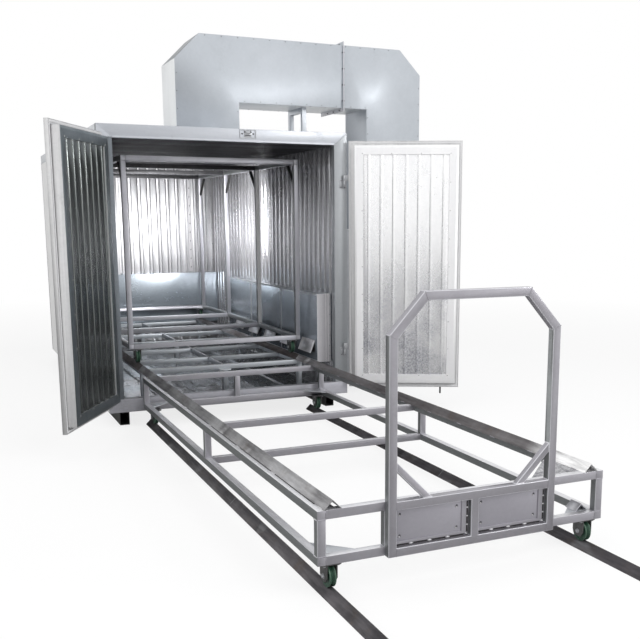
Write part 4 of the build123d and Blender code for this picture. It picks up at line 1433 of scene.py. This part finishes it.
        # Dark slabs paint the shadow in the plates' slots.
        finished("plate_slots", gathered(slots), BURNT_WELD_AND_SLOT_SHADOW, node)
        welded("plate_tacks", tacks, 0.0045, WELD_STEEL, node)
        finished("plate_screws", heads(screws, TO_FRONT, 0.006, 0.003, 8), SCREW_STEEL, node, smooth=True)
        # Small bright heads beside the screws are painted glints.
        glints = np.array(screws) - (0.004, 0.001, 0.004)
        finished("plate_screw_rims", heads(glints, TO_FRONT, 0.004, 0.003), BRIGHT_SCREW_AND_GLINT, node, smooth=True)


@dataclass
class Casters:
    """Forks and grooved wheels of the cart or the trolley."""

    kind: str
    front: float
    rear: float
    axle_z: float
    gauge: float = 0.678
    radius: float = 0.051
    width: float = 0.032
    groove: float = 0.01
    bore: float = 0.0061
    under: float = 0.142
    fork_gap: float = 0.01
    bolt_x: float = 0.033
    bolt_y: float = 0.032

    def build(self) -> None:
        """Builds the four wheels and dresses the forks."""
        node = self.kind + "_caster_forks"
        eased(node, CASTER_STEEL, 0.001)
        nuts = []
        for side in Side:
            for end, y in (("front", self.front), ("rear", self.rear)):
                self.wheel(side, end, y)
                nuts += self.fixings(side.value * self.gauge, y)
        finished(self.kind + "_caster_nuts", gathered(nuts), HINGE_STEEL, node, 0.0004)

    def fixings(self, x: float, y: float) -> list[Shape]:
        """Axle nuts with their washers outside the cheeks and four bolt heads under the plate.

        Args:
            x: middle of the wheel.
            y: its axle.

        Returns:
            The nuts, washers and bolt heads.
        """
        out = self.width / 2 + self.fork_gap
        made = []
        for way in SIDES:
            start, end = sorted((x + way * (out - 0.001), x + way * (out + 0.0065)))
            made += [hexagon(Axis.X, (0, y, self.axle_z), 0.018, start, end),
                     lathe(Axis.X, [(way * (out - 0.001), 0.012), (way * (out + 0.0012), 0.012)],
                           (x, y, self.axle_z), 20)]
        foot, top = self.under - 0.0055, self.under + 0.001
        return made + [hexagon(Axis.Z, (x + i * self.bolt_x, y + j * self.bolt_y, 0), 0.012, foot, top)
                       for i in SIDES for j in SIDES]

    def wheel(self, side: Side, end: str, y: float) -> None:
        """Wheel with a V groove, eased rims, a dished web and a hub.

        Args:
            side: side of the cart or trolley.
            end: front or rear.
            y: place of the axle.
        """
        h, r = self.width / 2, self.radius
        half = [(h, self.bore), (h, 0.013), (h - 0.004, 0.015), (h - 0.004, r - 0.012), (h, r - 0.009),
                (h, r - 0.0015), (h - 0.0015, r), (self.groove, r), (0.0006, r - self.groove + 0.0002)]
        profile = [(-x, out) for x, out in half] + half[::-1]
        node = f"{self.kind}_wheel_{end}_{side.word}"
        turned = lathe(Axis.X, profile, (side.value * self.gauge, y, self.axle_z), 48, True)
        made = finished("turned_" + node, turned, GREEN_ENAMEL, node, 0.0005)
        made.data.materials.append(WORN_RIM.material())
        centres = np.array([p.center for p in made.data.polygons], float)
        out = np.hypot(centres[:, 1] - y, centres[:, 2] - self.axle_z)
        made.data.polygons.foreach_set("material_index", (out > r - 0.002).astype(np.int32))
        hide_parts(node)


@dataclass
class Trolley:
    """Work trolley: beams, cross bars, posts and braces."""

    half_w: float = 0.75
    front: float = 0.46
    rear: float = 3.64
    bottom: float = 0.545
    top: float = 2.095
    tube: float = 0.04
    bays: int = 3

    def far_up(self, centres: np.ndarray, normals: np.ndarray) -> np.ndarray:
        """Tells the front faces of the top tubes behind the first frame, which get painted shade."""
        return (centres[:, 2] > 1.98) & (centres[:, 1] > 0.9) & (normals[:, 1] < -0.5)

    def lit(self, centres: np.ndarray, normals: np.ndarray) -> np.ndarray:
        """Tells the front faces of the second pair of posts, which get painted light."""
        near = (centres[:, 1] > 0.7) & (centres[:, 1] < 1.9)
        return near & (normals[:, 1] < -0.5) & (np.abs(centres[:, 2] - 1.3) < 0.5)

    def build(self) -> None:
        """Dresses the trolley and welds its corners."""
        # Tops get painted light and left faces get painted shade. The second posts' fronts get painted light
        # and the far top tubes' fronts get painted shade.
        for node in ("trolley_long_beams", "trolley_cross_bars", "trolley_posts"):
            eased(node, TROLLEY_ZINC, 0.003, ((TUBE_TOP_PAINTED_LIGHT, on_top), (CART_SIDE_PAINTED_SHADE, on_left), (POST_PAINTED_LIGHT_ZINC, self.lit),
                                              (TUBE_PAINTED_SHADE_ZINC, self.far_up)))
        eased("trolley_braces", BLACK_STEEL_AND_SHADE)
        t, g = self.tube, 0.003
        inner = self.half_w - t
        lines = []
        for y in self.front + (self.rear - self.front - t) / self.bays * np.arange(self.bays + 1):
            for z in (self.bottom, self.top - t):
                for x in (-inner, inner):
                    lines += [((x, y, z + g), (x, y, z + t - g)), ((x, y + g, z + t), (x, y + t - g, z + t))]
            for side in SIDES:
                x0, x1 = sorted((side * inner, side * self.half_w))
                for z in (self.bottom + t, self.top - t):
                    lines += box_lines((x0 + g, x1 - g), (y, y + t), z)[::2]
        welded("trolley_welds", lines, 0.0022, GREY_WELD, "trolley_cross_bars")


@dataclass
class FloorRails:
    """Angle rails on the workshop floor, in lengths joined end to end."""

    gauge: float = 0.678
    rise: float = 0.0424
    joints: Span = (-5.2, -2.2)

    def build(self) -> None:
        """Dresses the rails and welds the joints between their lengths."""
        eased("floor_rails", FLOOR_RAIL, 0.0008)
        low, high = self.rise - 0.004, self.rise - 0.002
        lines = [((x + way * start[0], y, start[1]), (x + way * end[0], y, end[1]))
                 for x in (-self.gauge, self.gauge) for y in self.joints
                 for way, start, end in ((-1, (low, 0.004), (0.002, high)),
                                         (1, (0.002, high), (low, 0.004)))]
        welded("floor_rail_joints", lines, 0.0018, GREY_WELD, "floor_rails")


# ---- studio


@dataclass(frozen=True)
class Lamp:
    """Large square lamp turned towards a point. One that is mirrored shows in shiny surfaces."""

    name: str
    place: Point
    target: Point
    size: float
    power: float
    mirrored: bool = False

    def build(self) -> None:
        """Makes the lamp."""
        data = bpy.data.lights.new(self.name, "AREA")
        data.shape = "SQUARE"
        data.size = self.size
        data.energy = self.power
        made = bpy.data.objects.new(self.name, data)
        bpy.context.scene.collection.objects.link(made)
        made.location = self.place
        x, y, z = np.array(self.target) - np.array(self.place)
        made.rotation_euler = (math.atan2(math.hypot(x, y), -z), 0.0, math.atan2(y, x) - math.pi / 2)
        made.visible_camera = False
        made.visible_glossy = self.mirrored


@dataclass
class Studio:
    """Pale floor, soft lamps and the white background."""

    ambient: float = 0.6
    floor_size: float = 120.0
    lamps: tuple[Lamp, ...] = (
        Lamp("key_lamp", (3.0, -9.4, 5.2), (0.0, 0.0, 1.2), 6.0, 400.0),
        Lamp("fill_lamp", (-7.5, -4.0, 5.0), (-1.0, 0.0, 1.5), 6.0, 150.0),
        Lamp("top_lamp", (0.0, -2.0, 8.0), (0.0, -1.5, 0.0), 6.0, 160.0),
        Lamp("flash_lamp", (3.6, -6.0, 3.9), (1.2, 0.6, 2.75), 0.7, 40.0, True),
        Lamp("chamber_lamp", (0.25, 1.75, 1.6), (0.35, 3.8, 1.5), 0.7, 30.0, True))

    def build(self) -> None:
        """Makes the floor, the world and the lamps."""
        self.floor()
        self.world()
        for lamp in self.lamps:
            lamp.build()

    def floor(self) -> None:
        """Flat floor that shows the shadow, looks white far away to the camera and grey in shiny surfaces."""
        s = self.floor_size / 2
        mesh = bpy.data.meshes.new("studio_floor")
        mesh.from_pydata([(-s, -s, 0), (s, -s, 0), (s, s, 0), (-s, s, 0)], [], [(0, 1, 2, 3)])
        made = bpy.data.objects.new("studio_floor", mesh)
        bpy.context.scene.collection.objects.link(made)
        paint = bpy.data.materials.new("studio_floor_white")
        paint.use_nodes = True
        nodes, g = paint.node_tree.nodes, Graph(paint.node_tree)
        shader = nodes["Principled BSDF"]
        g.fill(shader, {"Base Color": (0.9, 0.9, 0.9, 1), "Roughness": 0.9})
        rays = nodes.new("ShaderNodeLightPath").outputs
        shiny = g.math("MAXIMUM", rays["Is Glossy Ray"], rays["Is Transmission Ray"])
        place = g.node("ShaderNodeTexCoord", out="Object")
        away = g.node("ShaderNodeVectorMath", {0: place}, out="Value", operation="LENGTH")
        left = g.node("ShaderNodeSeparateXYZ", {0: place}, out=0)
        grey = g.times(g.spread(away, 1.5, 14.0, 0.2, 0.85), g.spread(left, -3.0, 0.0, 0.5, 1.0))
        tint = g.blend(g.times(shiny, g.math("SUBTRACT", 1.0, grey)), (1, 1, 1, 1), (0, 0, 0, 1))
        glow = g.node("ShaderNodeEmission", {"Color": tint})
        share = g.times(rays["Is Camera Ray"], g.spread(away, 5.0, 12.0, 0.8, 1.0))
        g.mixed(g.math("MAXIMUM", share, g.times(shiny, 0.9)), shader.outputs[0], glow,
                nodes["Material Output"].inputs["Surface"])
        mesh.materials.append(paint)

    def world(self) -> None:
        """White world for the camera and for shiny surfaces, and a softer one for the rest."""
        world = bpy.data.worlds.new("studio_world")
        bpy.context.scene.world = world
        world.use_nodes = True
        nodes, g = world.node_tree.nodes, Graph(world.node_tree)
        soft = nodes["Background"]
        g.fill(soft, {"Color": (1, 1, 1, 1), "Strength": self.ambient})
        white = g.node("ShaderNodeBackground", {"Color": (1, 1, 1, 1), "Strength": 1.0})
        rays = nodes.new("ShaderNodeLightPath").outputs
        seen = g.math("MAXIMUM", g.math("MAXIMUM", rays["Is Camera Ray"], rays["Is Glossy Ray"]),
                      rays["Is Transmission Ray"])
        g.mixed(seen, soft.outputs[0], white, nodes["World Output"].inputs["Surface"])


@dataclass
class Viewpoint:
    """Camera at the place and with the lens of the photograph, its angles in degrees."""

    place: Point = (-2.0955, -6.9256, 1.5962)
    yaw: float = 24.644
    pitch: float = 10.386
    roll: float = 0.076
    lens: float = 50.44
    sensor: float = 36.0
    shift: Span = (-0.0563, 0.0995)
    reach: float = 200.0

    def build(self) -> None:
        """Makes the camera and hands it to the scene."""
        data = bpy.data.cameras.new("viewpoint")
        data.lens = self.lens
        data.sensor_width = self.sensor
        data.shift_x, data.shift_y = self.shift
        data.clip_end = self.reach
        made = bpy.data.objects.new("viewpoint", data)
        bpy.context.scene.collection.objects.link(made)
        turn = (Matrix.Rotation(math.radians(-self.yaw), 4, "Z")
                @ Matrix.Rotation(math.radians(90 - self.pitch), 4, "X")
                @ Matrix.Rotation(math.radians(-self.roll), 4, "Z"))
        made.matrix_world = Matrix.Translation(self.place) @ turn
        bpy.context.scene.camera = made


def main() -> None:
    """Builds the sub-assemblies in order and then the studio round them."""
    logging.basicConfig(level=logging.INFO, format="%(message)s")
    bpy.context.scene.view_settings.view_transform = "Standard"
    makers = [OvenShell(), LowDucts(), Track(), RoofDuct(),
              # The left leaf's lining and border are darker copies as painted shade.
              Door(Side.LEFT, 119.5, PAINTED_SHADE_LINING_ZINC, PAINTED_SHADE_BORDER_ZINC),
              Door(Side.RIGHT, 153.0, LINING_ZINC, BORDER_ZINC), DoorFittings(), Cart(),
              Casters("cart", front=-3.551, rear=-0.096, axle_z=0.084126),
              Casters("trolley", front=0.504, rear=3.596, axle_z=0.478126, under=0.537),
              Trolley(), FloorRails(), Studio(), Viewpoint()]
    for maker in makers:
        maker.build()
        LOG.info("built %s", type(maker).__name__)


if __name__ == "__main__":
    main()
